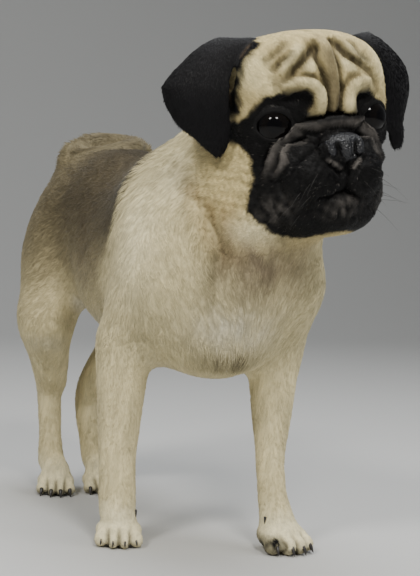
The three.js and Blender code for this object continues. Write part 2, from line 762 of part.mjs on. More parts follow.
function taperedTube(curve, radiusAt, steps, sides) {
  const frames = curve.computeFrenetFrames(steps, false);
  const vertices = [...curve.getPointAt(0).toArray()];
  for (let i = 0; i <= steps; i += 1) {
    const centre = curve.getPointAt(i / steps);
    for (let j = 0; j < sides; j += 1) {
      const angle = 2 * Math.PI * j / sides;
      const p = centre.clone()
        .addScaledVector(frames.normals[i], Math.cos(angle) * radiusAt(i / steps))
        .addScaledVector(frames.binormals[i], Math.sin(angle) * radiusAt(i / steps));
      vertices.push(...p.toArray());
    }
  }
  const tip = vertices.length / 3;
  vertices.push(...curve.getPointAt(1).addScaledVector(frames.tangents[steps], radiusAt(1) * 0.7).toArray());
  const triangles = [];
  for (let j = 0; j < sides; j += 1) {
    const k = (j + 1) % sides;
    triangles.push(0, 1 + k, 1 + j);
    for (let i = 0; i < steps; i += 1) {
      const a = 1 + i * sides;
      triangles.push(a + j, a + k, a + sides + k, a + j, a + sides + k, a + sides + j);
    }
    const last = 1 + steps * sides;
    triangles.push(last + j, last + k, tip);
  }
  return solidFrom(vertices, triangles);
}

function makeTail(torsoClearance) {
  const thickness = (share) => THREE.MathUtils.lerp(tail.rootThickness, tail.tipThickness, share ** 1.6)
    * (1 - 0.25 * THREE.MathUtils.smoothstep(share, 0.93, 1));
  return taperedTube(tailCurl(), thickness, 24, 8).subtract(torsoClearance);
}

// Claws: short dark horns at the end of each toe, and a dewclaw inside each fore leg

function claw(tip, direction, length, radius) {
  const horn = new THREE.ConeGeometry(radius, length, 7, 1);
  horn.translate(0, length / 2, 0);
  const turn = new THREE.Quaternion().setFromUnitVectors(new THREE.Vector3(0, 1, 0), direction.clone().normalize());
  return solidOf(horn, new THREE.Matrix4().compose(tip, turn, new THREE.Vector3(1, 1, 1)));
}

const pawCut = plane([0, 0, 40], [0, 0, 1]);
const floor = plane([0, 0, 0], [0, 0, 1]);

function makePaw(leg, kind, legMass) {
  const place = pawPlace(leg);
  const [px, py] = leg.paw;
  const field = endAt(pawFlesh(leg, kind, legMass), [behind(pawCut)], 5);
  let paw = skinOf(field, boxAround([px - 30, py - 34, -9], [px + 30, py + 44, 56]), 5.4)
    .intersect(region([floor], 0))
    .intersect(region([behind(pawCut)], -cutGap / 2));
  for (let index = 0; index < 4; index += 1) {
    const tip = toeTip(kind, index).add(new THREE.Vector3(0, -3.5, 0.5)).applyMatrix4(place);
    const ahead = new THREE.Vector3(0, -1, -0.42).transformDirection(place);
    paw = paw.add(claw(tip, ahead, 9, 2.3));
  }
  if (kind.dewclawHeight) {
    const inside = new THREE.Vector3(px - leg.side * 11, py + 3, kind.dewclawHeight);
    paw = paw.add(claw(inside, new THREE.Vector3(-leg.side * 0.5, -0.35, -1), 9, 2.2));
  }
  return paw;
}

function makeLeg(planes, box) {
  const field = endAt(trunkAndLegs, [pawCut], 8);
  return skinOf(field, box, 8.8).intersect(region([...planes, pawCut], -cutGap / 2));
}

// Assembly

const dog = new THREE.Group();
const torsoClearance = skinOf(
  (p) => trunkAndNeck(p) - cutGap - 0.2,
  boxAround([-100, 140, 190], [90, 290, 330]),
  8,
);
dog.add(node('torso', makeTorso(), fawn));
dog.add(node('neck', makeNeck(), cream));
dog.add(node('tail', makeTail(torsoClearance), fawn));

let headSolid = makeHead();
for (const eye of eyes) {
  headSolid = headSolid.add(lidRing(eye)).subtract(lidOpening(eye)).subtract(eyeBall(eye, cutGap));
  dog.add(node(`eye_${eye.name}`, eyeBall(eye, 0), eyeGloss));
}
for (const cut of [...mouthCuts(), earCup(-1), earCup(1)]) headSolid = headSolid.subtract(cut);
headSolid = headSolid.subtract(makeNose(cutGap + noseSlack));
dog.add(node('nose', makeNose(0).subtract(nostril(-1)).subtract(nostril(1)), black));
dog.add(node('head', headSolid, cream));

const headClearance = skinOf(
  (p) => flesh(p) - cutGap,
  boxAround([-60, -155, 205], [115, 20, 400]),
  5,
);
for (const ear of ears) {
  dog.add(node(`ear_${ear.name}`, earFlap(ear).subtract(headClearance).subtract(headSolid), black));
}

foreLegs.forEach((leg, i) => {
  const [ex, ey] = leg.elbow;
  const box = boxAround([ex - 45, ey - 70, 24], [ex + 45, ey + 60, 190]);
  dog.add(node(`foreleg_${leg.name}`, makeLeg(forePlanes[i], box), cream));
  dog.add(node(`forepaw_${leg.name}`, makePaw(leg, forePaw, foreMasses[i]), cream));
});

hindLegs.forEach((leg, i) => {
  const [kx, ky] = leg.knee;
  const box = boxAround([kx - 55, ky - 60, 24], [kx + 55, ky + 100, 215]);
  dog.add(node(`hindleg_${leg.name}`, makeLeg(hindPlanes[i], box), cream));
  dog.add(node(`hindpaw_${leg.name}`, makePaw(leg, hindPaw, hindMasses[i]), cream));
});

const outer = new THREE.Box3().setFromObject(dog);
dog.position.set(-(outer.min.x + outer.max.x) / 2, -(outer.min.y + outer.max.y) / 2, -outer.min.z);
dog.updateMatrixWorld(true);

export default dog;
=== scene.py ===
# %% [markdown]
# # A standing pug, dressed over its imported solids
#
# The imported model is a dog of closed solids: torso, neck, head, ears, tail, legs and paws.
# This script loads it as a fixed frame and gives it a skin, a short coat, eyes, a nose and
# claws. Sizes are worked out in millimetres in the dog's own frame: the origin lies on the
# floor midway between the fore feet, x points to the dog's left, y to its back and z up.

import math

import bmesh
import bpy
import numpy as np
from mathutils import Matrix, Vector
from mathutils.bvhtree import BVHTree


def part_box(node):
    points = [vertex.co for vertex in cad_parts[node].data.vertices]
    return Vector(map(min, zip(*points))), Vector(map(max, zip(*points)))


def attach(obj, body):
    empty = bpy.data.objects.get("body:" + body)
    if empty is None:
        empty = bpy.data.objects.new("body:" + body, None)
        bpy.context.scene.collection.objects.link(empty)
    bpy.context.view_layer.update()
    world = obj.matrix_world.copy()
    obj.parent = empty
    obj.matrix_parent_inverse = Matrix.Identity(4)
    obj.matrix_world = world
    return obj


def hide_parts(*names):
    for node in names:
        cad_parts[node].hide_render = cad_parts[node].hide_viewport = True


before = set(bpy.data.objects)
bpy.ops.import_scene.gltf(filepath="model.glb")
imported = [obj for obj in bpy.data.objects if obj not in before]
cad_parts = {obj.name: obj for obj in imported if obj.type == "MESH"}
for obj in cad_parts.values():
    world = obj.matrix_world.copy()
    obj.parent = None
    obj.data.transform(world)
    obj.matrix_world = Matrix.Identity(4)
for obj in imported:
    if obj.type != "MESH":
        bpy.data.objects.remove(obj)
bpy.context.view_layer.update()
print("nodes:", len(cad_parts))

# %% [markdown]
# Two small frames help all the rest. The dog's frame differs from the scene's only by a
# shift, which the left eyeball tells. The head is turned and tilted, so its folds, eyes and
# lips are laid out in a frame of its own: x to its left, y to the back of the skull, z up.

# %% The dog's frame and the head's frame
head_centre = np.array([32.5, -69.0, 309.5])
head_turn = np.array(
    Matrix.Rotation(math.radians(-2), 3, "Z")
    @ Matrix.Rotation(math.radians(4), 3, "X")
    @ Matrix.Rotation(math.radians(-9), 3, "Y")
)
eye_spots = {"left": np.array([35, -23, 2.2]), "right": np.array([-35, -23, 2.2])}
eye_aims = {"left": np.array([0.4, -0.91, 0.03]), "right": np.array([-0.4, -0.91, 0.03])}
eye_radius = 13.5


def from_head(points):
    """Head frame to dog frame, in millimetres."""
    return head_centre + np.asarray(points, float) @ head_turn.T


def into_head(points):
    return (np.asarray(points, float) - head_centre) @ head_turn


def corners_of(mesh):
    points = np.empty(len(mesh.vertices) * 3)
    mesh.vertices.foreach_get("co", points)
    return points.reshape(-1, 3)


eye_seen = corners_of(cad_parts["eye_left"].data).mean(axis=0) * 1000
shift = eye_seen - from_head(eye_spots["left"])
shift[2] = 0.0


def to_scene(points):
    """Dog frame in millimetres to the scene in metres."""
    return (np.asarray(points, float) + shift) * 0.001


def to_dog(points):
    return np.asarray(points, float) * 1000 - shift


print("the dog's frame is shifted by", shift.round(2), "mm")

# %% [markdown]
# The camera stands where the photo was taken from: low, in front of the dog and a little to
# its right, looking slightly down, and turned three degrees. Its place comes from matching
# the outline of the solids to the picture.

# %% Camera
swing, tip, roll = math.radians(-25), math.radians(-2.71), math.radians(3)
camera_distance, camera_aside, camera_height = 1089, 1.9, 241
focal_pixels, picture_rows, film_height = 1495, 576, 36

level_right = Vector((math.cos(swing), math.sin(swing), 0))
level_ahead = Vector((-math.sin(swing), math.cos(swing), 0))
straight_up = Vector((0, 0, 1))
ahead = level_ahead * math.cos(tip) + straight_up * math.sin(tip)
upward = -level_ahead * math.sin(tip) + straight_up * math.cos(tip)
right = level_right * math.cos(roll) + upward * math.sin(roll)
upward = -level_right * math.sin(roll) + upward * math.cos(roll)
stand = -level_ahead * camera_distance - level_right * camera_aside + straight_up * camera_height

camera_data = bpy.data.cameras.new("camera")
camera_data.sensor_fit = "VERTICAL"
camera_data.sensor_height = film_height
camera_data.lens = focal_pixels * film_height / picture_rows
camera = bpy.data.objects.new("camera", camera_data)
bpy.context.scene.collection.objects.link(camera)
turned = Matrix((right, upward, -ahead)).transposed().to_4x4()
camera.matrix_world = Matrix.Translation(Vector(to_scene(stand))) @ turned
bpy.context.scene.camera = camera
print("lens", round(camera_data.lens, 1), "mm")

# %% [markdown]
# ## Floor and light
#
# The floor is a plain pale sheet that lies flat under the dog and curves up far behind it,
# as in a photo studio. It could be a floor and a wall, but a curved sheet shows no corner.
# The rows of a grid are bent here: first along a quarter circle, then straight up.

# %% Floor and backdrop
floor_side, floor_middle, rise_from, rise_radius = 9, 2.4, 1.6, 1.4

bpy.ops.object.select_all(action="DESELECT")
bpy.ops.mesh.primitive_grid_add(
    x_subdivisions=2, y_subdivisions=160, size=floor_side, location=(0, floor_middle, 0)
)
floor = bpy.context.object
floor.name = "floor"
bpy.ops.object.transform_apply(location=True)
for vertex in floor.data.vertices:
    past = max(0.0, vertex.co.y - rise_from)
    bend = min(past / rise_radius, math.pi / 2)
    if past:
        straight_part = max(0.0, past - rise_radius * math.pi / 2)
        vertex.co.y = rise_from + rise_radius * math.sin(bend)
        vertex.co.z = rise_radius * (1 - math.cos(bend)) + straight_part
bpy.ops.object.shade_smooth()
print("floor:", len(floor.data.polygons), "faces")

# %% [markdown]
# Every finish in this script starts from the same shader with its own roughness, and nodes
# are added to it by name. The floor's paint is pale grey, a little uneven, and dull.

# %% Floor paint


def start_material(name, roughness, specular=0.5):
    material = bpy.data.materials.new(name)
    material.use_nodes = True
    shader = material.node_tree.nodes["Principled BSDF"]
    shader.inputs["Roughness"].default_value = roughness
    shader.inputs["Specular IOR Level"].default_value = specular
    return material, material.node_tree, shader


def add_node(tree, kind, **settings):
    """A new node, with its input values or its own settings filled in."""
    node = tree.nodes.new(kind)
    for key, value in settings.items():
        if key in node.inputs:
            node.inputs[key].default_value = value
        else:
            setattr(node, key, value)
    return node


def tint_by(tree, factor, shader, dark, light):
    """Colour the shader between two tones, as the factor says."""
    tone = add_node(tree, "ShaderNodeMix", data_type="RGBA")
    tone.inputs["A"].default_value = (*dark, 1)
    tone.inputs["B"].default_value = (*light, 1)
    tree.links.new(factor, tone.inputs["Factor"])
    tree.links.new(tone.outputs["Result"], shader.inputs["Base Color"])
    return tone


floor_paint, floor_tree, floor_shader = start_material("floor_paint", 0.8)
floor_grain = add_node(floor_tree, "ShaderNodeTexNoise", Scale=3.0)
tint_by(floor_tree, floor_grain.outputs["Fac"], floor_shader, (0.50, 0.50, 0.49), (0.54, 0.54, 0.53))
floor.data.materials.append(floor_paint)
print("floor painted")

# %% [markdown]
# The light is that of a studio with soft lamps. Two key lamps hang high above the camera, one
# well to its left and one a little to its right, and make the two bright points in each eye.
# A wide lamp hangs over the back, and a weak one fills the shadows from the right without
# showing in the eyes.

# %% Lamps
look_at = Vector((0, 0, 0.2))
warm, cool, cold = (1.0, 0.98, 0.93), (0.96, 0.98, 1.0), (0.95, 0.97, 1.0)


def hang_lamp(name, place, size, power, tint):
    data = bpy.data.lights.new(name, "AREA")
    data.shape = "DISK"
    data.size = size
    data.energy = power
    data.color = tint
    lamp = bpy.data.objects.new(name, data)
    bpy.context.scene.collection.objects.link(lamp)
    aim = look_at - Vector(place)
    turn = aim.to_track_quat("-Z", "Y").to_matrix().to_4x4()
    lamp.matrix_world = Matrix.Translation(place) @ turn
    return lamp


hang_lamp("key_lamp_a", (-1.25, -0.85, 1.45), 0.4, 21, warm)
hang_lamp("key_lamp_b", (-0.25, -1.4, 1.5), 0.4, 21, warm)
hang_lamp("top_lamp", (0.2, 0.1, 1.7), 1.2, 23, cool)
fill_lamp = hang_lamp("fill_lamp", (1.3, -1.0, 0.7), 1.0, 7, cold)
fill_lamp.visible_glossy = False
print("four lamps hung")

# %% Light of the room
world = bpy.data.worlds.new("studio")
bpy.context.scene.world = world
world.use_nodes = True
room_light = world.node_tree.nodes["Background"]
room_light.inputs["Color"].default_value = (0.62, 0.64, 0.66, 1)
room_light.inputs["Strength"].default_value = 0.36
print("room lit")

# %% [markdown]
# ## The skin
#
# A real dog has one skin, so one mesh stands for all the flesh. It could be sculpted from a
# ball, but the solids already have the right outline. Each solid of flesh is copied, its
# loose triangles are merged, and it is grown a little to close the thin gaps between the
# solids. The solids of the eyes and the nose are copied too, so that no hollow is left there.

# %% Copies of the flesh
sides, limbs, paws = ("left", "right"), ("foreleg", "hindleg"), ("forepaw", "hindpaw")
flesh_names = ["torso", "neck", "tail", "head", "ear_left", "ear_right"]
flesh_names += [f"{limb}_{side}" for limb in limbs for side in sides]
paw_names = [f"{paw}_{side}" for paw in paws for side in sides]
filler_names = ["eye_left", "eye_right", "nose"]
gap_growth, merge_within = 0.0007, 0.00001


def pick_only(*pieces):
    bpy.ops.object.select_all(action="DESELECT")
    for piece in pieces:
        piece.select_set(True)
    bpy.context.view_layer.objects.active = pieces[0]


def copy_of_node(name):
    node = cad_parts[name]
    twin = bpy.data.objects.new("copy_" + name, node.data.copy())
    bpy.context.scene.collection.objects.link(twin)
    pick_only(twin)
    bpy.ops.object.mode_set(mode="EDIT")
    bpy.ops.mesh.select_all(action="SELECT")
    bpy.ops.mesh.remove_doubles(threshold=merge_within)
    bpy.ops.transform.shrink_fatten(value=gap_growth)
    bpy.ops.object.mode_set(mode="OBJECT")
    return twin


flesh = [copy_of_node(name) for name in flesh_names + paw_names + filler_names]
print("copied", len(flesh), "solids")

# %% [markdown]
# The solids of the paws have the claws fused on. The coat would swallow them, so the paws
# are cut off low down, and pads and toes are put back as separate rounded lumps, which melt
# into one paw in the remesh below. The claws come later as pieces of their own.

# %% Plans of the paws
# Place on the floor, turn in degrees, growth, and the length and thickness of the claws
paw_plans = {
    "forepaw_right": {"at": (-58.5, 14, 0), "turn": -20, "fore": True, "claw": (4.4, 1.3)},
    "forepaw_left": {"at": (52.5, -29, 0), "turn": 8, "fore": True, "grow": 1.14, "claw": (6.6, 2.0)},
    "hindpaw_right": {"at": (-40, 208, 0), "turn": -18, "fore": False, "claw": (7.2, 2.3)},
    "hindpaw_left": {"at": (1, 209, 0), "turn": -6, "fore": False, "claw": (7.2, 2.3)},
}
toe_plan = {
    True: {"spread": 8.4, "radius": 6.3, "reach": 13.5, "pad": (14, 14.5, 11)},
    False: {"spread": 7.8, "radius": 5.9, "reach": 12.5, "pad": (12.4, 13.5, 10)},
}
outer_toe_back = 5.2


def paw_place(plan, x, y, z):
    """A point of a paw's own frame, in the dog's frame."""
    angle = math.radians(plan["turn"])
    px, py, _ = plan["at"]
    return np.array([
        px + x * math.cos(angle) - y * math.sin(angle),
        py + x * math.sin(angle) + y * math.cos(angle),
        z,
    ])


def toe_sizes(plan):
    grow = plan.get("grow", 1)
    return {
        key: tuple(grow * v for v in size) if key == "pad" else grow * size
        for key, size in toe_plan[plan["fore"]].items()
    }


def toe_offsets(plan):
    """Where the four toe tips of a paw lie, across and ahead, outer toes set back."""
    spread, reach = toe_sizes(plan)["spread"], toe_sizes(plan)["reach"]
    return [
        ((i - 1.5) * spread, -reach + (outer_toe_back if i in (0, 3) else 0.0))
        for i in range(4)
    ]


print("toes of each paw:", len(toe_offsets(paw_plans["forepaw_left"])))

# %% Cut the paws low down
paw_cut = 0.020


def cut_paw(stump):
    pick_only(stump)
    bpy.ops.object.mode_set(mode="EDIT")
    bpy.ops.mesh.select_all(action="SELECT")
    bpy.ops.mesh.bisect(
        plane_co=(0, 0, paw_cut), plane_no=(0, 0, 1), use_fill=True, clear_inner=True
    )
    bpy.ops.object.mode_set(mode="OBJECT")


for paw_name in paw_plans:
    cut_paw(bpy.data.objects["copy_" + paw_name])
print("paws cut at", paw_cut * 1000, "mm")

# %% Pads and toes


def rounded_lump(name, place, radii, turn=0.0, tip_down=0.0):
    """An ellipsoid in the dog's frame, in millimetres, with its own mesh."""
    bpy.ops.object.select_all(action="DESELECT")
    bpy.ops.mesh.primitive_uv_sphere_add(
        segments=24, ring_count=16, radius=0.001, location=to_scene(place),
        rotation=(math.radians(tip_down), 0, math.radians(turn)), scale=radii,
    )
    lump = bpy.context.object
    lump.name = name
    bpy.ops.object.transform_apply(location=True, rotation=True, scale=True)
    return lump


def paw_lumps(plan):
    """The pad, the pastern and the four toes, each with its knuckle."""
    sizes, turn = toe_sizes(plan), plan["turn"]
    radius, pad = sizes["radius"], sizes["pad"]
    lumps = [
        rounded_lump("pad", paw_place(plan, 0, 4, pad[2] - 0.8), pad, turn),
        rounded_lump("pastern", paw_place(plan, 0, 5.5, 18), (12.2, 11.5, 14), turn),
    ]
    toe_radii = (radius * 0.82, radius * 1.06, radius * 0.95)
    for across, forward in toe_offsets(plan):
        knuckle = paw_place(plan, across * 0.9, forward + 9, radius + 4.4)
        lumps.append(rounded_lump("knuckle", knuckle, (radius * 0.86, 9.5, radius), turn, 14))
        tip = paw_place(plan, across, forward + 0.8, radius - 0.6)
        lumps.append(rounded_lump("toe", tip, toe_radii, turn))
    return lumps


for plan in paw_plans.values():
    flesh += paw_lumps(plan)
print("lumps of pads and toes:", len(flesh) - len(flesh_names + paw_names + filler_names))

# %% [markdown]
# The tail is one tight curl, and its hair makes it look fuller than its flesh. A row of
# overlapping lumps along the top of the curl gives it that round dome.

# %% A rounder tail
tail_roll_radii = (13.5, 13, 14.5)
tail_curl = [
    (-37, 222, 283), (-29, 230, 289), (-19, 236, 294), (-7, 240, 297),
    (5, 241, 298), (16, 238, 297), (25, 232, 295), (31, 224, 292),
]
flesh += [rounded_lump("tail_roll", place, tail_roll_radii) for place in tail_curl]
print("rolls in the tail:", len(tail_curl))

# %% [markdown]
# Joining the copies gives one object of many shells. A voxel remesh then walks round the
# outside of all of them and returns a single closed net, without any inner walls.

# %% One closed net
net_spacing = 0.0015


def remesh_into_one(piece, spacing):
    remesh = piece.modifiers.new("one_net", "REMESH")
    remesh.mode = "VOXEL"
    remesh.voxel_size = spacing
    bpy.ops.object.modifier_apply(modifier="one_net")


pick_only(*flesh)
bpy.ops.object.join()
skin = bpy.context.object
skin.name = "skin"
skin.data.name = "skin"
skin.data.materials.clear()
remesh_into_one(skin, net_spacing)
print("skin net:", len(skin.data.vertices), "vertices")

# %% [markdown]
# The net still shows the facets of the solids. They are worn away by letting every vertex
# drift towards the middle of its neighbours, many times on the broad body, fewer times on
# the legs, and only a little on ears and toes, which would melt.

# %% Read and write a net


def edges_of(mesh):
    pairs = np.empty(len(mesh.edges) * 2, dtype=np.int64)
    mesh.edges.foreach_get("vertices", pairs)
    return pairs.reshape(-1, 2)


def normals_of(mesh):
    normals = np.empty(len(mesh.vertices) * 3)
    mesh.vertices.foreach_get("normal", normals)
    return normals.reshape(-1, 3)


def triangles_of(mesh, kind="vertices"):
    mesh.calc_loop_triangles()
    ids = np.empty(len(mesh.loop_triangles) * 3, dtype=np.int64)
    mesh.loop_triangles.foreach_get(kind, ids)
    return ids.reshape(-1, 3)


def put_corners(mesh, points):
    mesh.vertices.foreach_set("co", np.asarray(points, dtype=np.float32).ravel())
    mesh.update()


print("edges in the net:", len(edges_of(skin.data)))

# %% Wear a net smooth


def neighbour_mean(values, pairs):
    count = len(values)
    total = np.empty_like(values)
    for axis in range(values.shape[1]):
        total[:, axis] = np.bincount(pairs[:, 0], values[pairs[:, 1], axis], count)
        total[:, axis] += np.bincount(pairs[:, 1], values[pairs[:, 0], axis], count)
    return total / np.bincount(pairs.ravel(), minlength=count)[:, None]


def wear_smooth(points, pairs, rounds_at):
    """Each vertex takes part in as many rounds as rounds_at says."""
    points = points.copy()
    for step in range(int(rounds_at.max()) + 1):
        share = 0.5 * np.clip(rounds_at - step, 0, 1)[:, None]
        points += share * (neighbour_mean(points, pairs) - points)
    return points


drift = neighbour_mean(corners_of(skin.data), edges_of(skin.data)) - corners_of(skin.data)
drift = np.linalg.norm(drift, axis=1).mean() * 1000
print("a vertex lies", round(float(drift), 3), "mm from the middle of its neighbours on average")

# %% Soft regions of the body


def ease(value, low, high):
    """0 below low, 1 above high, and a smooth rise between."""
    t = np.clip((value - low) / (high - low), 0, 1)
    return t * t * (3 - 2 * t)


def closeness(points, name, reach):
    """1 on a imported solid, falling to 0 at `reach` millimetres from it."""
    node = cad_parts[name]
    low, high = (np.array(corner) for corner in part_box(name))
    margin = reach * 0.001
    result = np.zeros(len(points))
    inside = np.all((points > low - margin) & (points < high + margin), axis=1)
    tree = BVHTree.FromObject(node, bpy.context.evaluated_depsgraph_get())
    for i in np.nonzero(inside)[0]:
        found = tree.find_nearest(Vector(points[i]), margin)
        if found[0] is not None:
            result[i] = 1 - found[3] / margin
    return result


def head_region(head_points, softness):
    """1 on the head, 0 behind the slanting line from the nape to the throat."""
    behind = head_points[:, 1] - 34 - 0.45 * head_points[:, 2]
    return ease(-behind, -softness, softness) * ease(head_points[:, 2], -94, -78)


here = corners_of(skin.data)
dog_here = to_dog(here)
head_here = into_head(dog_here)
on_ear = np.maximum(closeness(here, "ear_left", 3), closeness(here, "ear_right", 3))
on_ear = ease(on_ear, 0.1, 0.6)
on_tail = ease(closeness(here, "tail", 9), 0.05, 0.5)
in_head = head_region(head_here, 12)
in_face = ease(-head_here[:, 1], -12, 8) * in_head
in_paw = ease(-dog_here[:, 2], -19, -13)
in_leg = ease(-dog_here[:, 2], -150, -110)
print("share of the net in the head:", round(float(in_head.mean()), 2))

# %% Wear the facets away
body_rounds, leg_rounds, head_rounds, face_rounds = 170.0, 35.0, 24.0, 12.0
paw_rounds, ear_rounds, tail_rounds, least_rounds = 4, 7, 90, 2

rounds = body_rounds - (body_rounds - leg_rounds) * in_leg - (body_rounds - head_rounds) * in_head
face_limit = head_rounds - (head_rounds - face_rounds) * in_face
rounds = np.where(in_face > 0, np.minimum(rounds, face_limit), rounds)
rounds = rounds * (1 - in_paw) + paw_rounds * in_paw
rounds = rounds * (1 - on_ear) + ear_rounds * on_ear
rounds = rounds * (1 - on_tail) + tail_rounds * on_tail
put_corners(skin.data, wear_smooth(here, edges_of(skin.data), np.maximum(rounds, least_rounds)))
print("worn with", round(float(rounds.mean())), "rounds on average")

# %% [markdown]
# A piece should stay below 200,000 triangles. The trunk and the legs are plain and round, so
# their net is thinned, while the head keeps its fine net, and the front of the face gets one
# that is finer still, to hold lids and folds.

# %% Thin the body
kept_share = 0.27

thin = skin.vertex_groups.new(name="thin")
plain = np.nonzero((in_head < 0.2) & (on_ear == 0) & (in_paw < 0.5))[0]
thin.add(plain.tolist(), 1.0, "REPLACE")
pick_only(skin)
decimate = skin.modifiers.new("thin_body", "DECIMATE")
decimate.vertex_group = "thin"
decimate.ratio = kept_share
bpy.ops.object.modifier_apply(modifier="thin_body")
skin.vertex_groups.clear()
print("after thinning:", len(skin.data.polygons), "faces")

# %% Refine the face


def in_front_of_face(p):
    return (p[:, 1] < 2) & (np.abs(p[:, 0]) < 56) & (p[:, 2] > -72) & (p[:, 2] < 58)


def refine(mesh, wanted):
    """One subdivision of the faces that the test picks, which stay triangles or quads."""
    net = bmesh.new()
    net.from_mesh(mesh)
    net.faces.ensure_lookup_table()
    net.edges.ensure_lookup_table()
    middles = np.array([face.calc_center_median() for face in net.faces])
    chosen = wanted(into_head(to_dog(middles)))
    faces = [net.faces[i] for i in np.nonzero(chosen)[0]]
    edges = [net.edges[i] for i in sorted({edge.index for face in faces for edge in face.edges})]
    bmesh.ops.subdivide_edges(net, edges=edges, cuts=1, use_grid_fill=True)
    bmesh.ops.triangulate(net, faces=[f for f in net.faces if len(f.verts) > 4])
    net.to_mesh(mesh)
    net.free()
    mesh.update()


refine(skin.data, in_front_of_face)
print("triangles of skin:", len(triangles_of(skin.data)))

# %% [markdown]
# ## Folds of the face
#
# A pug's face is made by its folds: the roll that lies over the nose like a rope, the rolls
# of the brow that curl round the eyes, the upright folds in the middle of the forehead and
# the split of the lips. By hand they would be sculpted with a brush. Here each fold is drawn
# as a line in the front view of the head, thrown onto the skin, and the skin near it is
# pushed out into a roll or in into a crease.

# %% The face as a target
line_start_y = -140

skin_here = corners_of(skin.data)
head_skin = into_head(to_dog(skin_here))
skin_triangles = triangles_of(skin.data)
front = np.all(head_skin[skin_triangles][:, :, 1] < 30, axis=1)
face_tree = BVHTree.FromPolygons(
    [Vector(p) for p in head_skin], skin_triangles[front].tolist(), all_triangles=True
)
print("triangles on the front of the head:", int(front.sum()))

# %% Lines thrown onto a surface


def through(points, steps):
    """A smooth line through the points (Catmull-Rom), as an array of steps points."""
    p = np.asarray(points, float)
    p = np.vstack([2 * p[0] - p[1], p, 2 * p[-1] - p[-2]])
    out = []
    for t in np.linspace(0, len(p) - 3 - 1e-9, steps):
        i = int(t)
        f = t - i
        a, b, c, d = p[i:i + 4]
        slope, curve, twist = c - a, 2 * a - 5 * b + 4 * c - d, 3 * b - a - 3 * c + d
        out.append(0.5 * (2 * b + slope * f + curve * f * f + twist * f ** 3))
    return np.array(out)


def thrown_onto(tree, points, steps):
    """The line as it lies on a surface, seen from in front of the head."""
    line = []
    for x, z in through(points, steps):
        hit = tree.ray_cast(Vector((x, line_start_y, z)), Vector((0, 1, 0)))[0]
        if hit is not None:
            line.append(np.array(hit))
    return np.array(line)


def on_face(points, steps=28):
    return thrown_onto(face_tree, points, steps)


middle_line = on_face([(0, 50), (0, 10)])
print("the forehead lies at y", round(float(middle_line[:, 1].mean())), "mm in the head's frame")

# %% Distance from a line


def along_line(points, line, reach):
    """Distance of each point from the line, and how far along it the nearest place is."""
    best = np.full(len(points), 1e9)
    place = np.zeros(len(points))
    boxed = (points > line.min(0) - reach) & (points < line.max(0) + reach)
    near = np.nonzero(np.all(boxed, axis=1))[0]
    p = points[near]
    found, where = best[near], place[near]
    count = len(line) - 1
    for i in range(count):
        a, b = line[i], line[i + 1]
        span = b - a
        t = np.clip((p - a) @ span / max(span @ span, 1e-9), 0, 1)
        d = np.linalg.norm(p - a - t[:, None] * span, axis=1)
        closer = d < found
        found = np.where(closer, d, found)
        where = np.where(closer, (i + t) / count, where)
    best[near], place[near] = found, where
    return best, place


near_middle = along_line(head_skin, middle_line, 10)[0] < 5
print("within 5 mm of the forehead's middle line:", int(near_middle.sum()), "vertices")

# %% [markdown]
# Each fold is written as its line (x and z in the front view), its half width, its height
# (below 0 for a crease), and the shares of its length over which it fades in and out. The
# two sides of a dog's face are never quite alike, so only a few of its folds are mirrored.

# %% Folds of lips and chin, mirrored
paired_folds = {
    "lip_overhang": ([(3, -41), (9, -41.8), (16, -42.8), (22, -46)], 4.2, 0.8, 0.3, 0.5),
    "lower_lip": ([(0, -50), (8, -51), (14, -54.5)], 3.4, 1.5, 0, 0.4),
    "chin_crease": ([(0, -61.5), (8, -61.5), (15, -59)], 2.4, -1.0, 0, 0.4),
    "flew_crease": ([(20.5, -54.5), (26, -58.5), (31, -62)], 2.4, -1.6, 0.3, 0.4),
}
print("mirrored folds:", len(paired_folds))

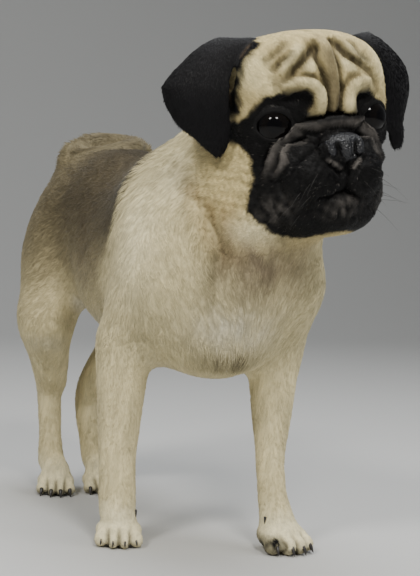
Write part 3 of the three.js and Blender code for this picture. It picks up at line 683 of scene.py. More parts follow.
# %% Folds of the nose: the rope over it, a thinner ridge below, and creases between
nose_folds = {
    "rope_right": (
        [(16, 0.2), (4.4, 1.0), (-4.6, 1.1), (-12, 0.4), (-18.7, -1.9), (-25.1, -4.4),
         (-30, -7.4), (-34.5, -12), (-38, -16.8), (-41, -22), (-43, -27.4), (-45, -35)],
        4.2, 5.6, 0, 0.25,
    ),
    "rope_left": (
        [(12, 0.6), (16, 0.2), (21.9, -3.6), (27.1, -8), (31.6, -12.6), (35, -19), (38, -28)],
        4.2, 5.2, 0.1, 0.35,
    ),
    "ridge_right": (
        [(-13.8, -6.2), (-18.6, -11), (-25.9, -15), (-31.5, -18.4), (-36, -22.7),
         (-39.1, -27.3), (-41, -34)],
        2.8, 2.6, 0.5, 0.3,
    ),
    "ridge_left": (
        [(16, -9), (21, -12.5), (26, -16.5), (31, -22), (34, -28)],
        2.8, 2.6, 0.25, 0.35,
    ),
    "crease_over_right": (
        [(10.6, 5.8), (-0.2, 6.4), (-11.4, 4.9), (-18.4, 1.9), (-24.2, -0.6), (-30.2, -3.4),
         (-35.3, -8.2), (-39.8, -13.6), (-43.4, -20), (-46, -29)],
        1.6, -3.6, 0, 0.3,
    ),
    "crease_over_left": (
        [(8, 6), (16.8, 4.4), (24.8, 1.8), (31.3, -3), (36.8, -8.4), (40.5, -15)],
        1.6, -3.4, 0, 0.3,
    ),
    "crease_between_right": (
        [(-11, -2.6), (-15.9, -4.4), (-19.1, -8.2), (-26.7, -11.4), (-32.5, -14.6),
         (-36.5, -18.8), (-39.9, -24.3), (-41.6, -29)],
        1.35, -4.2, 0.35, 0.25,
    ),
    "crease_between_left": (
        [(15, -4.6), (19.5, -8.2), (24.5, -12), (29, -16.5), (32.5, -22.5)],
        1.35, -3.8, 0.15, 0.3,
    ),
    "crease_under_right": (
        [(-13.1, -10.5), (-18.9, -14.9), (-25.9, -19.4), (-30.2, -23), (-34.2, -28)],
        1.5, -3.0, 0.15, 0.4,
    ),
    "crease_under_left": (
        [(16.5, -12.5), (21, -16.5), (26, -21.5), (29.5, -27)],
        1.5, -2.6, 0.2, 0.4,
    ),
    "flange_right": (
        [(-11.7, -20.6), (-8.7, -22.6), (-3.6, -25.6), (0.5, -28.4)],
        1.6, 1.6, 0.2, 0.1,
    ),
    "flange_left": ([(13.4, -21.5), (11.6, -24), (9.4, -27), (7.2, -30)], 1.6, 1.6, 0.2, 0.1),
    "lip_split": ([(3.2, -24), (4, -31), (3.2, -36.5), (2.8, -40.6), (2, -44.6)], 1.3, -2.2, 0, 0),
    "pad_crease_right": ([(-11, -24.5), (-5.5, -28.6), (0, -33)], 1.5, -1.5, 0.2, 0.2),
}
print("folds of the nose:", len(nose_folds))

# %% Folds of the mouth and the flews
lip_folds = {
    "mouth": (
        [(-20, -48.2), (-16.2, -46.3), (-8.8, -45.4), (-0.3, -44.4), (4.6, -45), (8.1, -47.2),
         (12, -51)],
        1.4, -3.0, 0.2, 0.25,
    ),
    "flew_roll_right": ([(-45, -33), (-44.5, -45), (-42, -57), (-36, -64)], 4.2, 1.6, 0.3, 0.4),
    "flew_fold_right": ([(-38, -33), (-37.5, -43), (-35, -53), (-29, -60)], 2.2, -2.0, 0.3, 0.4),
    "cheek_fold_right": ([(-31, -30), (-31, -39), (-28, -47)], 2.2, -1.4, 0.3, 0.4),
    "flew_fold_left": ([(33, -30), (35, -41), (33, -52)], 2.2, -1.6, 0.3, 0.4),
    "mouth_corner_right": ([(-20, -48.2), (-25, -52.5), (-27, -58)], 2.2, -1.3, 0.2, 0.5),
}
print("folds of mouth and flews:", len(lip_folds))

# %% Folds of the brow: rolls that curl round the inner corners of the eyes
brow_folds = {
    "brow_roll_right": (
        [(-10, 4), (-8.8, 10), (-8, 16.5), (-8.8, 22.5), (-11.8, 27), (-16.5, 29),
         (-22.5, 29.4), (-29, 29.2), (-36, 28), (-43, 26), (-49, 23)],
        4.4, 3.3, 0.2, 0.7,
    ),
    "brow_roll_left": (
        [(12.6, 4), (12.4, 9), (12.6, 14.5), (14.4, 20), (18, 24.4), (23, 25.6), (28, 25),
         (33, 22), (38, 18)],
        4.6, 3.0, 0.2, 0.75,
    ),
    "brow_edge_right": (
        [(-5.6, 24.5), (-7.6, 29), (-11, 31.8), (-16, 33.4), (-21.5, 34.1), (-27, 34)],
        2.0, -1.9, 0.15, 0.4,
    ),
    "brow_edge_left": (
        [(7.4, 20), (9.6, 25), (14, 29.5), (18.9, 31), (24.5, 31)],
        2.0, -2.0, 0.15, 0.4,
    ),
    "eye_hollow_right": (
        [(-17, 4), (-16.4, 12), (-17.5, 18.5), (-22, 21), (-30, 20.5), (-38, 18)],
        4.2, -3.2, 0.2, 0.3,
    ),
    "eye_hollow_left": (
        [(20.5, 4), (21, 11), (23.5, 17.5), (29, 17.5), (35, 14)],
        4.0, -3.2, 0.2, 0.3,
    ),
}
print("folds of the brow:", len(brow_folds))

# %% Folds of the forehead: the column in the middle, and furrows that slope away from it
forehead_folds = {
    "middle_column": (
        [(1.4, 56), (0.3, 46), (0.6, 37), (1.8, 27), (1.4, 17), (0.8, 8)],
        4.2, 2.6, 0.3, 0.05,
    ),
    "column_crease_right": (
        [(-4.6, 58), (-5.2, 52), (-7, 46), (-6.6, 41), (-5.3, 35.5), (-4.2, 30), (-3.4, 23.5),
         (-3.7, 17), (-3.5, 6)],
        1.8, -3.8, 0.1, 0,
    ),
    "column_crease_left": (
        [(8.8, 58), (7.9, 52), (6.9, 46.5), (7.3, 41), (7.5, 36), (7.6, 29), (7.2, 22.7),
         (5.9, 16), (4.6, 6)],
        1.8, -3.8, 0.1, 0,
    ),
    "furrow_right": (
        [(-5.5, 54.5), (-7.8, 51), (-13.4, 46.7), (-18.1, 43), (-22.3, 39.4), (-26, 35.7),
         (-28.5, 33), (-33, 31), (-39, 29.6)],
        2.8, -3.4, 0.1, 0.5,
    ),
    "furrow_left": (
        [(9, 57), (12, 53), (13.6, 48.8), (16.6, 44.6), (20.6, 41.7), (26, 38.6), (31.2, 34.2),
         (35.8, 28.5), (41, 22.8)],
        2.8, -3.0, 0.1, 0.4,
    ),
    "outer_furrow_right": (
        [(-23, 51), (-27.1, 46.9), (-31.6, 44), (-35.4, 40.3), (-38.7, 37.3)],
        2.6, -2.5, 0.3, 0.4,
    ),
    "side_furrow_right": (
        [(-24, 57), (-26.6, 54.2), (-32, 50.6), (-37.4, 47), (-42, 44.1)],
        2.6, -2.2, 0.3, 0.4,
    ),
    "outer_furrow_left": (
        [(22, 55), (24.2, 51.5), (25.6, 46.7), (30.4, 42.4), (35.8, 38)],
        2.6, -2.3, 0.3, 0.4,
    ),
    "slope_roll_right": ([(-14, 54), (-21, 48), (-28, 41), (-34, 35.5)], 4.6, 1.5, 0.3, 0.4),
    "slope_roll_left": ([(17, 53), (22, 47.5), (29, 42), (35, 35.5)], 4.4, 1.2, 0.3, 0.4),
    "pit_roll_right": ([(-11, 43), (-14, 38.5), (-19, 36.5)], 4.2, 1.2, 0.3, 0.4),
    "pit_roll_left": ([(12, 43), (15, 37.5), (22, 35.5)], 4.2, 1.2, 0.3, 0.4),
}
all_folds = paired_folds | nose_folds | lip_folds | brow_folds | forehead_folds
print("folds of the forehead:", len(forehead_folds))

# %% Cross-section of a fold


def fold_lines(name):
    line = all_folds[name][0]
    if name in paired_folds:
        return [line, [(-x, z) for x, z in line]]
    return [line]


def fold_amount(points, name):
    """How far along a fold's cross-section each point of the skin is: 1 on its line."""
    _, width, height, fade_in, fade_out = all_folds[name]
    amount = np.zeros(len(points))
    for line in fold_lines(name):
        away, place = along_line(points, on_face(line), 3 * width)
        if height > 0:
            shape = np.clip(1 - (away / (1.15 * width)) ** 2, 0, 1) ** 0.75
        else:
            shape = np.exp(-(away / width) ** 2)
        rise = np.clip(place / fade_in, 0, 1) if fade_in else 1.0
        fall = np.clip((1 - place) / fade_out, 0, 1) if fade_out else 1.0
        amount = np.maximum(amount, shape * np.sqrt(rise * fall))
    return amount


print("skin under the mouth's crease:", int((fold_amount(head_skin, "mouth") > 0.5).sum()), "vertices")

# %% [markdown]
# The pushes of all the folds are added up. On the way, four masks remember where creases and
# rolls lie, because the paints need them: painted shade goes into the creases, and painted
# light onto the rolls and the crests.

# %% Push the folds
shaded_crease_depth, full_shade_depth = -2.5, 2.6

face_normals = normals_of(skin.data) @ head_turn
looks_ahead = ease(-face_normals[:, 1], -0.25, 0.1)
push, crease_shade, shaded_crease, roll_light, lit_crest = (np.zeros(len(head_skin)) for _ in range(5))
for fold_name, fold in all_folds.items():
    height = fold[2]
    amount = fold_amount(head_skin, fold_name) * looks_ahead
    push += amount * height
    # Deep creases are marked for painted black shade.
    if height < shaded_crease_depth:
        shaded_crease = np.maximum(shaded_crease, amount)
    if height < 0:
        shade = amount ** 0.38 * min(1, -height / full_shade_depth)
        crease_shade = np.maximum(crease_shade, shade)
    else:
        roll_light = np.maximum(roll_light, amount)
    # The crests of the rope, the ridges and the flanges are marked for a painted highlight.
    if height > 0 and fold_name.startswith(("rope", "ridge", "flange")):
        lit_crest = np.maximum(lit_crest, amount)
folded = head_skin + face_normals * push[:, None]
print("folds:", len(all_folds), "deepest", round(float(push.min()), 1), "mm")

# %% [markdown]
# Between the long folds the skin of the muzzle is not smooth either. A fine irregular relief
# is laid over it, and a few rounds of wear take the sharpness off the whole face.

# %% Small wrinkles of the muzzle


def ripple(points, size, seed):
    """A cheap smooth random pattern between -1 and 1, about `size` millimetres across."""
    dice = np.random.default_rng(seed)
    total = np.zeros(len(points))
    for _ in range(6):
        direction = dice.normal(size=3)
        direction /= np.linalg.norm(direction)
        pace = 2 * math.pi / size
        total += np.sin(points @ direction * pace * dice.uniform(0.6, 1.5) + dice.uniform(0, 6.3))
    return total / 3.2


on_muzzle = ease(-head_skin[:, 2], -2, 8) * ease(head_skin[:, 2], -72, -62) * looks_ahead
relief = 0.45 * ripple(head_skin, 6.5, 12) + 0.3 * ripple(head_skin, 3.6, 13)
folded += face_normals * (relief * on_muzzle)[:, None]
soften = ease(-head_skin[:, 1], -6, 6) * (np.abs(head_skin[:, 0]) < 60) * (head_skin[:, 2] > -75)
folded = wear_smooth(folded, edges_of(skin.data), 3.0 * soften)
print("relief of the muzzle: up to", round(float(np.abs(relief * on_muzzle).max()), 1), "mm")

# %% [markdown]
# A paw shows its toes by the grooves between them, which are pressed in and get painted
# shade. The grooves follow each paw's own frame. All paws but the right forepaw also have
# black hair low at the front, and on the left forepaw it goes on along the inner side.

# %% Grooves and dark hair of the paws
groove_width, paw_reach = 1.25, 34

dog_here = to_dog(skin_here)
groove_shade = np.zeros(len(dog_here))
dark_hair = np.zeros(len(dog_here))
below = -dog_here[:, 2]
for paw_name, plan in paw_plans.items():
    angle = math.radians(plan["turn"])
    px, py, _ = plan["at"]
    from_x, from_y = dog_here[:, 0] - px, dog_here[:, 1] - py
    across = from_x * math.cos(angle) + from_y * math.sin(angle)
    back = -from_x * math.sin(angle) + from_y * math.cos(angle)
    in_reach = np.hypot(across, back) < paw_reach
    on_toes = ease(-back, 1, 7) * ease(below, -17, -9) * in_reach
    for i in (-1, 0, 1):
        middle = i * toe_sizes(plan)["spread"] * 0.98
        groove = np.exp(-((across - middle) / groove_width) ** 2) * on_toes
        groove_shade = np.maximum(groove_shade, groove)
    if paw_name != "forepaw_right":
        inner = -1 if px > 0 else 1
        low_front = ease(below, -7, -3) * ease(-back, -6, 4) * in_reach
        inner_edge = ease(inner * across, 8, 12) * ease(below, -17, -11) * in_reach
        here_dark = np.maximum(low_front * 0.8, inner_edge * plan["fore"])
        dark_hair = np.maximum(dark_hair, here_dark)
print("groove vertices:", int((groove_shade > 0.5).sum()))

# %% [markdown]
# ## Lids
#
# A lid is skin that lies on the eyeball and turns in at its edge. Seen from the middle of
# the eye, the opening is an almond, so each vertex near it is moved along its own ray:
# under the eyeball's surface inside the almond, and just over it outside. Two soft furrows
# over each eye follow the lid's edge.

# %% The opening of an eye
half_width, half_height, corner_reach = 59, 44, 5


def eye_axes(side):
    """Where an eye looks, and its directions outward and up."""
    aim = eye_aims[side] / np.linalg.norm(eye_aims[side])
    outward = np.cross([0, 0, 1.0], aim)
    outward /= np.linalg.norm(outward)
    if outward[0] * (1 if side == "left" else -1) < 0:
        outward = -outward
    lid_up = np.cross(aim, outward)
    lid_up *= np.sign(lid_up[2])
    return aim, outward, lid_up


def lid_gap(points, side):
    """Degrees from the edge of the eye's opening, below 0 inside it, and the distance."""
    aim, outward, lid_up = eye_axes(side)
    ray = points - eye_spots[side]
    reach = np.linalg.norm(ray, axis=1)
    ray = ray / np.maximum(reach, 1e-6)[:, None]
    angle = np.degrees(np.arccos(np.clip(ray @ aim, -1, 1)))
    turn = np.arctan2(ray @ lid_up, ray @ outward)
    wide = half_width + 2 * np.cos(turn)
    opening = 1 / np.sqrt((np.cos(turn) / wide) ** 2 + (np.sin(turn) / half_height) ** 2)
    corner = np.exp(-((np.abs(np.cos(turn)) - 1) / 0.06) ** 2)
    return angle - opening - corner_reach * corner, reach


print("skin inside the right eye's opening:", int((lid_gap(folded, "right")[0] < 0).sum()), "vertices")

# %% Lids round each eye
lid_thickness, tuck_depth, least_cover = 1.25, 1.8, 0.9

lid_rim = np.zeros(len(folded))
for side, eye_spot in eye_spots.items():
    gap, reach = lid_gap(folded, side)
    near = (reach < 30) & (gap < 45)
    outer = ease(gap, 2, 26)
    on_ball = eye_radius + lid_thickness * ease(gap, -7, 1.5) - tuck_depth * ease(-gap, 2, 8)
    wanted = on_ball * (1 - outer) + reach * outer
    wanted = np.where(gap > 2, np.maximum(wanted, eye_radius + least_cover), wanted)
    ray = (folded - eye_spot) / np.maximum(reach, 1e-6)[:, None]
    folded = np.where(near[:, None], eye_spot + ray * wanted[:, None], folded)
    lid_rim = np.maximum(lid_rim, np.where(near, np.exp(-(gap / 5) ** 2), 0))
    over_eye = ease(folded[:, 2] - eye_spot[2], 3, 9)
    furrow = np.exp(-((gap - 11) / 3.2) ** 2) + 0.7 * np.exp(-((gap - 22) / 3.4) ** 2)
    folded -= face_normals * (furrow * near * over_eye)[:, None]
print("lids shaped round", len(eye_spots), "eyes")

# %% [markdown]
# ## Under the coat
#
# One long fold runs down the front of the neck, where the skin of the turned head gathers:
# a crease with a low roll on each side. The nose leather is a piece of its own, so the skin
# is sunk a little where it will sit.

# %% Fold at the neck, and the seat of the nose
chest_line = np.array([
    (-40, -43, 262), (-36, -55, 246), (-31, -63, 231),
    (-27, -67, 216), (-30, -63, 198), (-31, -54, 176),
], float)
nose_spot, nose_radii = np.array([2.0, -47, -14.6]), np.array([14.8, 9.8, 9.2])
nose_seat_depth = 2.2

from_fold, fold_place = along_line(from_head(folded), chest_line, 24)
fold_part = np.clip(fold_place * 3, 0, 1) * np.clip((1 - fold_place) * 2.5, 0, 1)
fold_rolls = 1.6 * np.exp(-((from_fold - 10) / 6) ** 2)
fold_crease = 3.0 * np.exp(-(from_fold / 5) ** 2)
folded += face_normals * (fold_part * (fold_rolls - fold_crease))[:, None]
from_nose = np.linalg.norm((folded - nose_spot) / (nose_radii + 0.5), axis=1)
folded[:, 1] += nose_seat_depth * ease(-from_nose, -1.12, -0.98)
print("skin sunk under the nose:", int((from_nose < 1).sum()), "vertices")

# %% Regions of the finished skin
groove_depth = 0.0012

row_skin = to_scene(from_head(folded)) - normals_of(skin.data) * (groove_depth * groove_shade)[:, None]
put_corners(skin.data, row_skin)
dog_skin = to_dog(row_skin)
head_skin = folded
normals = normals_of(skin.data)
on_ear = {side: ease(closeness(row_skin, f"ear_{side}", 4), 0.05, 0.5) for side in sides}
any_ear = np.maximum(on_ear["left"], on_ear["right"])
on_tail = ease(closeness(row_skin, "tail", 5), 0.05, 0.5)
in_head = head_region(head_skin, 14)
in_face = ease(-head_skin[:, 1], -14, 8) * in_head
in_paw = ease(-dog_skin[:, 2], -36, -22)
in_leg = ease(-dog_skin[:, 2], -165, -125)
print("share of the skin in the face:", round(float(in_face.mean()), 2))

# %% [markdown]
# A coat has a depth of its own, and the solids were made with it. The skin moves inward by
# that depth: most on the tail and the trunk, hardly on the paws, and not at all in the face.

# %% Sink the skin under the coat


def by_region(body, leg, paw, head, face, ear, tail):
    """One figure for each vertex, blended from the figures of the regions."""
    value = np.full(len(dog_skin), float(body))
    figures = (leg, paw, head, face, ear, tail)
    for amount, figure in zip((in_leg, in_paw, in_head, in_face, any_ear, on_tail), figures):
        value = value * (1 - amount) + figure * amount
    return value


depth = by_region(body=1.2, leg=0.5, paw=0.1, head=0.5, face=0.0, ear=0.35, tail=2.6)
row_skin = row_skin - normals * (depth * 0.001)[:, None]
row_skin[:, 2] = np.maximum(row_skin[:, 2], 0.0)
put_corners(skin.data, row_skin)
print("the skin lies", round(float(depth.mean()), 2), "mm under the coat on average")

# %% [markdown]
# ## Markings
#
# The dog is fawn with a black mask and black ears, a dark saddle and pale legs. The colour
# of every spot is worked out from where it lies on the body, so that the skin and the tufts
# of the coat over it are painted alike. Each marking is a region with a soft edge, laid over
# the one before like a thin coat of paint.

# %% Paints


def paint(code):
    """A colour given as in a paint shop (#rrggbb) as linear light."""
    value = np.array([int(code[i:i + 2], 16) for i in (1, 3, 5)]) / 255
    return np.where(value <= 0.04045, value / 12.92, ((value + 0.055) / 1.055) ** 2.4)


def layer(base, colour, amount):
    return base * (1 - amount[:, None]) + colour * amount[:, None]


cream, pale_cream, fawn = paint("#d2c59a"), paint("#e9dfb8"), paint("#a29571")
saddle_brown, deep_saddle = paint("#4b4230"), paint("#28231a")
# Among these, the breast's grey is partly painted shadow under the head, the crease black and the crease
# brown are painted shade, the roll grey is painted highlight and sheen, and the rim brown is partly
# painted highlight.
chest_grey_and_shadow, neck_brown, belly_white = paint("#776955"), paint("#7c6640"), paint("#ddd6c0")
mask_black, crease_shade_black, ear_black = paint("#0b0a0a"), paint("#050505"), paint("#09080a")
column_grey, sheen_grey, shade_brown = paint("#776c50"), paint("#67625d"), paint("#5c4f38")
brow_cream, forehead_fawn, crease_shade_brown = paint("#e2d5a6"), paint("#c6b584"), paint("#2c2415")
lit_rim_brown, tail_fawn = paint("#6f5c44"), paint("#6f664e")
print("cream in linear light:", cream.round(2))

# %% [markdown]
# Most of the body is cream, fawn from the shoulder back. A saddle of dark brown hair lies on
# the back and the flanks. It begins along a slanting line behind the shoulder, where it is
# darkest, and fades out towards the belly and the rump.

# %% Body and saddle
dx, dy, dz = dog_skin.T
hx, hy, hz = head_skin.T
wobble = ripple(dog_skin, 26, 1)
fine_wobble = ripple(dog_skin, 7, 2)
saddle_heights = [150, 200, 209, 221, 231, 239, 257, 277, 290]
saddle_starts = [62, 52, 44, 34, 24, 18, 16, 13, 8]


def near_spot(place, reach):
    """A soft blot in the dog's frame: 1 at its middle, 0.37 where the reach ends."""
    return np.exp(-(((dog_skin - np.array(place)) / np.array(reach)) ** 2).sum(1))


trunk = 1 - np.maximum(in_head, any_ear)
low = ease(-dz, -215, -160)
coat = np.tile(cream, (len(dog_skin), 1))
coat = layer(coat, fawn, trunk * ease(dy, 30, 75) * (0.8 - 0.3 * low))
saddle_front = np.interp(dz, saddle_heights, saddle_starts)
saddle = trunk * ease(dy + 2.5 * fine_wobble, saddle_front - 3, saddle_front + 6)
saddle *= ease(dz + 7 * wobble, 158, 246) * (1 - 0.35 * ease(dy, 150, 240))
coat = layer(coat, saddle_brown, np.clip(saddle, 0, 1) * 0.97)
behind_shoulder = np.exp(-((dy - saddle_front - 16) / 20) ** 2) * ease(dz, 196, 262) * saddle
coat = layer(coat, deep_saddle, behind_shoulder * 0.6)
spine = trunk * np.exp(-((dx + 4) / 26) ** 2) * ease(dz, 262, 284) * ease(dy, 16, 34)
coat = layer(coat, deep_saddle, spine * 0.75)
coat = layer(coat, shade_brown, near_spot((-63, 108, 214), (14, 12, 30)) * trunk * 0.5)
print("saddle covers", round(float((saddle > 0.5).mean()) * 100), "% of the vertices")

# %% Legs, feet and the ground of the head
coat = layer(coat, cream, in_leg * 0.92)
coat = layer(coat, pale_cream, in_paw * 0.9)
# Painted shade: brown in the grooves between the toes.
coat = layer(coat, crease_shade_brown, groove_shade * 0.8)
coat = layer(coat, mask_black, np.clip(dark_hair * (0.75 + 0.4 * fine_wobble), 0, 1))
temples = ease(np.abs(hx), 30, 48) * ease(hz, 20, 34) * ease(-hz, -56, -44)
head_base = np.tile(forehead_fawn, (len(dog_skin), 1))
head_base = layer(head_base, brow_cream, temples * 0.7)
head_base = layer(head_base, fawn, ease(hy, 14, 48) * 0.75)
coat = layer(coat, head_base, in_head)
print("legs and head based")

# %% [markdown]
# Neck and chest are not one colour. Brown hair runs down the front of the neck in broken
# streaks, and its fold gets painted shade. The breast is greyer, partly from its hair and
# partly from painted shadow under the head, and pale hair shows at the shoulder, between the
# forelegs and under the chin.

# %% Streaks of the neck
neck_streaks = (
    [(-46, -30, 276), (-40, -43, 259), (-35, -56, 246), (-30, -64, 229), (-22, -69, 214)],
    [(-24, -68, 246), (-21, -71, 230), (-14, -74, 216)],
    [(46, -40, 262), (42, -52, 246), (34, -62, 229), (24, -70, 214)],
)
off_ears = 1 - any_ear
streak = np.clip(0.66 + 0.38 * ripple(dog_skin * [1, 1, 0.3], 9, 9), 0, 1)
for path in neck_streaks:
    away, _ = along_line(dog_skin, np.array(path, float), 30)
    coat = layer(coat, neck_brown, np.exp(-(away / 9) ** 2) * off_ears * streak * 0.8)
# Painted shade: brown along the crease of the fold down the neck.
away, place = along_line(dog_skin, chest_line, 20)
line_part = np.clip(place * 2 - 0.5, 0, 1) * np.clip((1 - place) * 4, 0, 1)
coat = layer(coat, crease_shade_brown, np.exp(-(away / 4.5) ** 2) * line_part * off_ears * 0.45)
print("streaks on the neck:", len(neck_streaks))

# %% Blots of chest and breast
# colour, place, reach, strength
chest_blots = (
    # partly grey hair, partly painted shadow under the head
    (chest_grey_and_shadow, (0, -74, 208), (30, 30, 24), 0.55 + 0.5 * streak),
    (chest_grey_and_shadow, (38, -66, 210), (16, 20, 26), 0.45),
    (belly_white, (-8, -56, 163), (30, 26, 15), 0.9 * streak),
    (pale_cream, (-68, -10, 225), (18, 24, 48), 0.65),
    (pale_cream, (-45, -27, 268), (9, 14, 20), 0.6),
    # painted shade in the fold of the neck
    (crease_shade_brown, (-30, -62, 196), (5, 9, 22), 0.35),
    (saddle_brown, (-3, -46, 139), (30, 16, 6), 0.95 * streak),
)
for colour, place, reach, strength in chest_blots:
    coat = layer(coat, colour, near_spot(place, reach) * off_ears * strength)
belly = trunk * ease(-normals[:, 2], 0.35, 0.8) * ease(dz, 115, 140) * ease(dy, -10, 40)
coat = layer(coat, belly_white, belly * 0.5)
coat = layer(coat, pale_cream, near_spot((-7, -77, 233), (19, 14, 10)) * 0.6)
print("blots on the chest:", len(chest_blots))

# %% [markdown]
# On the forehead the rolls get painted light, a paler cream, and the creases painted brown
# shade. The column in the middle is grey. The creases and rolls come from the masks that the
# folds left behind.

# %% Forehead
forehead = in_face * ease(hz, 1, 8)
beside_column = ease(np.abs(hx - 1), 4.6, 6.6)
column = np.exp(-((hx - 1.0) / 4.6) ** 4) * ease(-hz, -58, -46)
coat = layer(coat, column_grey, column * forehead * 0.95)
# Painted light: the rolls beside the column are paler.
coat = layer(coat, brow_cream, np.clip(roll_light * 1.1, 0, 1) * forehead * beside_column * 0.7)
mottle = np.clip(0.3 * ripple(head_skin * [1, 1, 0.45], 6.5, 8), 0, 1)
coat = layer(coat, shade_brown, mottle * forehead * ease(-np.abs(hx), -44, -20))
# Painted shade: brown in the creases of the forehead.
shaded = np.clip(crease_shade * (1.0 + 0.16 * fine_wobble), 0, 1)
coat = layer(coat, crease_shade_brown, shaded * forehead * 0.94)
print("forehead painted")

# %% [markdown]
# The mask has a clear edge, so it is drawn as an outline in the front view of the head. Its
# lower half is the same on both sides. Its upper half runs round each brow roll, which
# differ. Towards the neck it ends along a line of its own.

# %% Outline of the mask
mask_low = [
    (58, 5), (66, 3), (66, -6), (57, -8.5), (53.5, -13), (51, -20), (50.3, -28), (52, -38),
    (54.5, -48), (55, -56), (48, -63), (40, -70), (29, -74.5), (19, -75.5), (10, -73), (0, -72),
]
mask_near_right_eye = [
    (0, 9), (6, 8.8), (11, 7.6), (14.6, 7.2), (15.8, 9), (14.2, 13), (13.2, 18), (14.2, 22.5),
    (16.5, 24.8), (20, 24.8), (26.4, 24.2), (35, 23.6), (42, 22), (46.5, 19.5), (50, 14), (53, 8.5),
]
mask_near_left_eye = [
    (0, 9), (7, 8.8), (13, 7.4), (18, 7), (19.6, 9), (20, 14), (21, 19.5), (23.4, 22.6),
    (27, 22), (33, 19.2), (38, 16), (43, 13), (49, 8.5), (53, 6),
]


def inside_outline(x, z, ring):
    """Signed distance from a closed outline in the front view, above 0 inside."""
    best = np.full(len(x), 1e9)
    inside = np.zeros(len(x), dtype=bool)
    for (ax, az), (bx, bz) in zip(ring, np.roll(ring, -1, axis=0)):
        sx, sz = bx - ax, bz - az
        t = np.clip(((x - ax) * sx + (z - az) * sz) / max(sx * sx + sz * sz, 1e-9), 0, 1)
        best = np.minimum(best, np.hypot(x - ax - t * sx, z - az - t * sz))
        if az != bz:
            crosses = (az > z) != (bz > z)
            inside ^= crosses & (x < (bx - ax) * (z - az) / (bz - az) + ax)
    return np.where(inside, best, -best)


mask_right = np.array(mask_near_right_eye + mask_low, float) * [-1, 1]
mask_left = np.array(mask_near_left_eye + mask_low, float)
mask_outline = np.vstack([mask_left, mask_right[::-1]])
print("points of the mask's outline:", len(mask_outline))

# %% Black mask
in_outline = inside_outline(hx, hz, mask_outline) + 0.7 * fine_wobble
mask_back = np.interp(hz, [-80, -50, -16, -6, 6, 14, 30], [-9, -8, 2, 12, 12, 4, 4])
mask = ease(in_outline, -1.4, 1.4) * ease(-(hy - mask_back), -3, 3)
mask = np.maximum(mask, lid_rim)
under_brow = ease(-hz, -5, 1) * mask
# Painted sheen: soft mottled grey on the flews and the chin, as light on the black hair.
flew_sheen = np.exp(-((np.abs(hx) - 40) / 8) ** 2 - ((hz + 54) / 9) ** 2)
chin_sheen = np.exp(-((hx - 1) / 13) ** 2 - ((hz + 55) / 6) ** 2)
painted_sheen = np.clip(flew_sheen + chin_sheen, 0, 1) * np.clip(0.3 + 0.35 * fine_wobble, 0, 1)
coat = layer(coat, mask_black, mask * in_head)
# Painted highlight: grey along the lit crests of the rope, the ridges and the flanges.
coat = layer(coat, sheen_grey, lit_crest ** 2 * under_brow * np.clip(0.85 + 0.3 * fine_wobble, 0, 1))
# Painted shade: near black in the deep creases of the muzzle.
coat = layer(coat, crease_shade_black, shaded_crease * under_brow)
coat = layer(coat, sheen_grey, painted_sheen * mask)
print("mask covers", round(float((mask * in_head).mean()) * 100), "% of the vertices")

# %% [markdown]
# The black of an ear also covers its root on the head. Along the front of the right ear the
# fold shows a thin brown rim, fawn hair with a painted highlight on it. The tail is a duller
# fawn with brown streaks. Last, a faint mottle over the whole coat keeps any part from looking
# painted.

# %% Ears, tail and a last mottle
ear_rim = [
    (-30, 8, 59), (-39.6, -1.4, 54.7), (-46.7, -4.8, 48.5), (-46.8, 8.1, 39.8),
    (-49.9, 9.4, 30.5), (-55.5, -0.5, 22.3), (-55.5, -2.6, 13.6),
]
coat = layer(coat, ear_black, any_ear)
root_edge = np.interp(hz, [8, 16, 26, 35, 44, 51, 57], [55, 53.8, 53.3, 51.8, 48.8, 42.8, 34])
ear_root = ease(np.abs(hx) - root_edge + 0.8 * fine_wobble, -1.5, 1.5)
ear_root *= ease(hz, 4, 12) * ease(-hy, -18, -6) * in_head
coat = layer(coat, ear_black, ear_root)
rim_away, rim_place = along_line(head_skin, np.array(ear_rim, float), 8)
rim_part = np.clip(rim_place * 5, 0, 1) * np.clip((1 - rim_place) * 4, 0, 1)
# Partly painted highlight: the lit brown rim along the front of the right ear.
coat = layer(coat, lit_rim_brown, np.exp(-(rim_away / 1.5) ** 2) * rim_part * 0.8)
coat = layer(coat, tail_fawn, on_tail)
coat = layer(coat, saddle_brown, on_tail * np.clip(0.3 + 0.5 * ripple(dog_skin, 14, 5), 0, 1))
coat = np.clip(coat * (1 + 0.04 * fine_wobble + 0.035 * wobble)[:, None], 0.002, 1)
dark = np.clip(np.maximum.reduce([mask * in_head, any_ear, ear_root]), 0, 1)
print("mask and ears cover", round(float(dark.mean()) * 100), "% of the vertices")

# %% [markdown]
# ## How the hair lies
#
# Short hair lies flat, and it always points away from the nose: over the forehead to the
# crown, down the neck, along the back, down the legs and out to the tips of ears and tail.
# Every vertex gets such a direction, a length and a lift, which its tufts share.

# %% Lie of the hair on the body


def blend_in(base, direction, amount):
    direction = np.broadcast_to(np.asarray(direction, float), base.shape)
    length = np.maximum(np.linalg.norm(direction, axis=1), 1e-6)[:, None]
    return base * (1 - amount[:, None]) + direction / length * amount[:, None]


def vectors(x, y, z):
    """One direction for each vertex, from numbers or from one number for each vertex."""
    return np.stack([np.broadcast_to(value, len(dog_skin)) for value in (x, y, z)], 1)


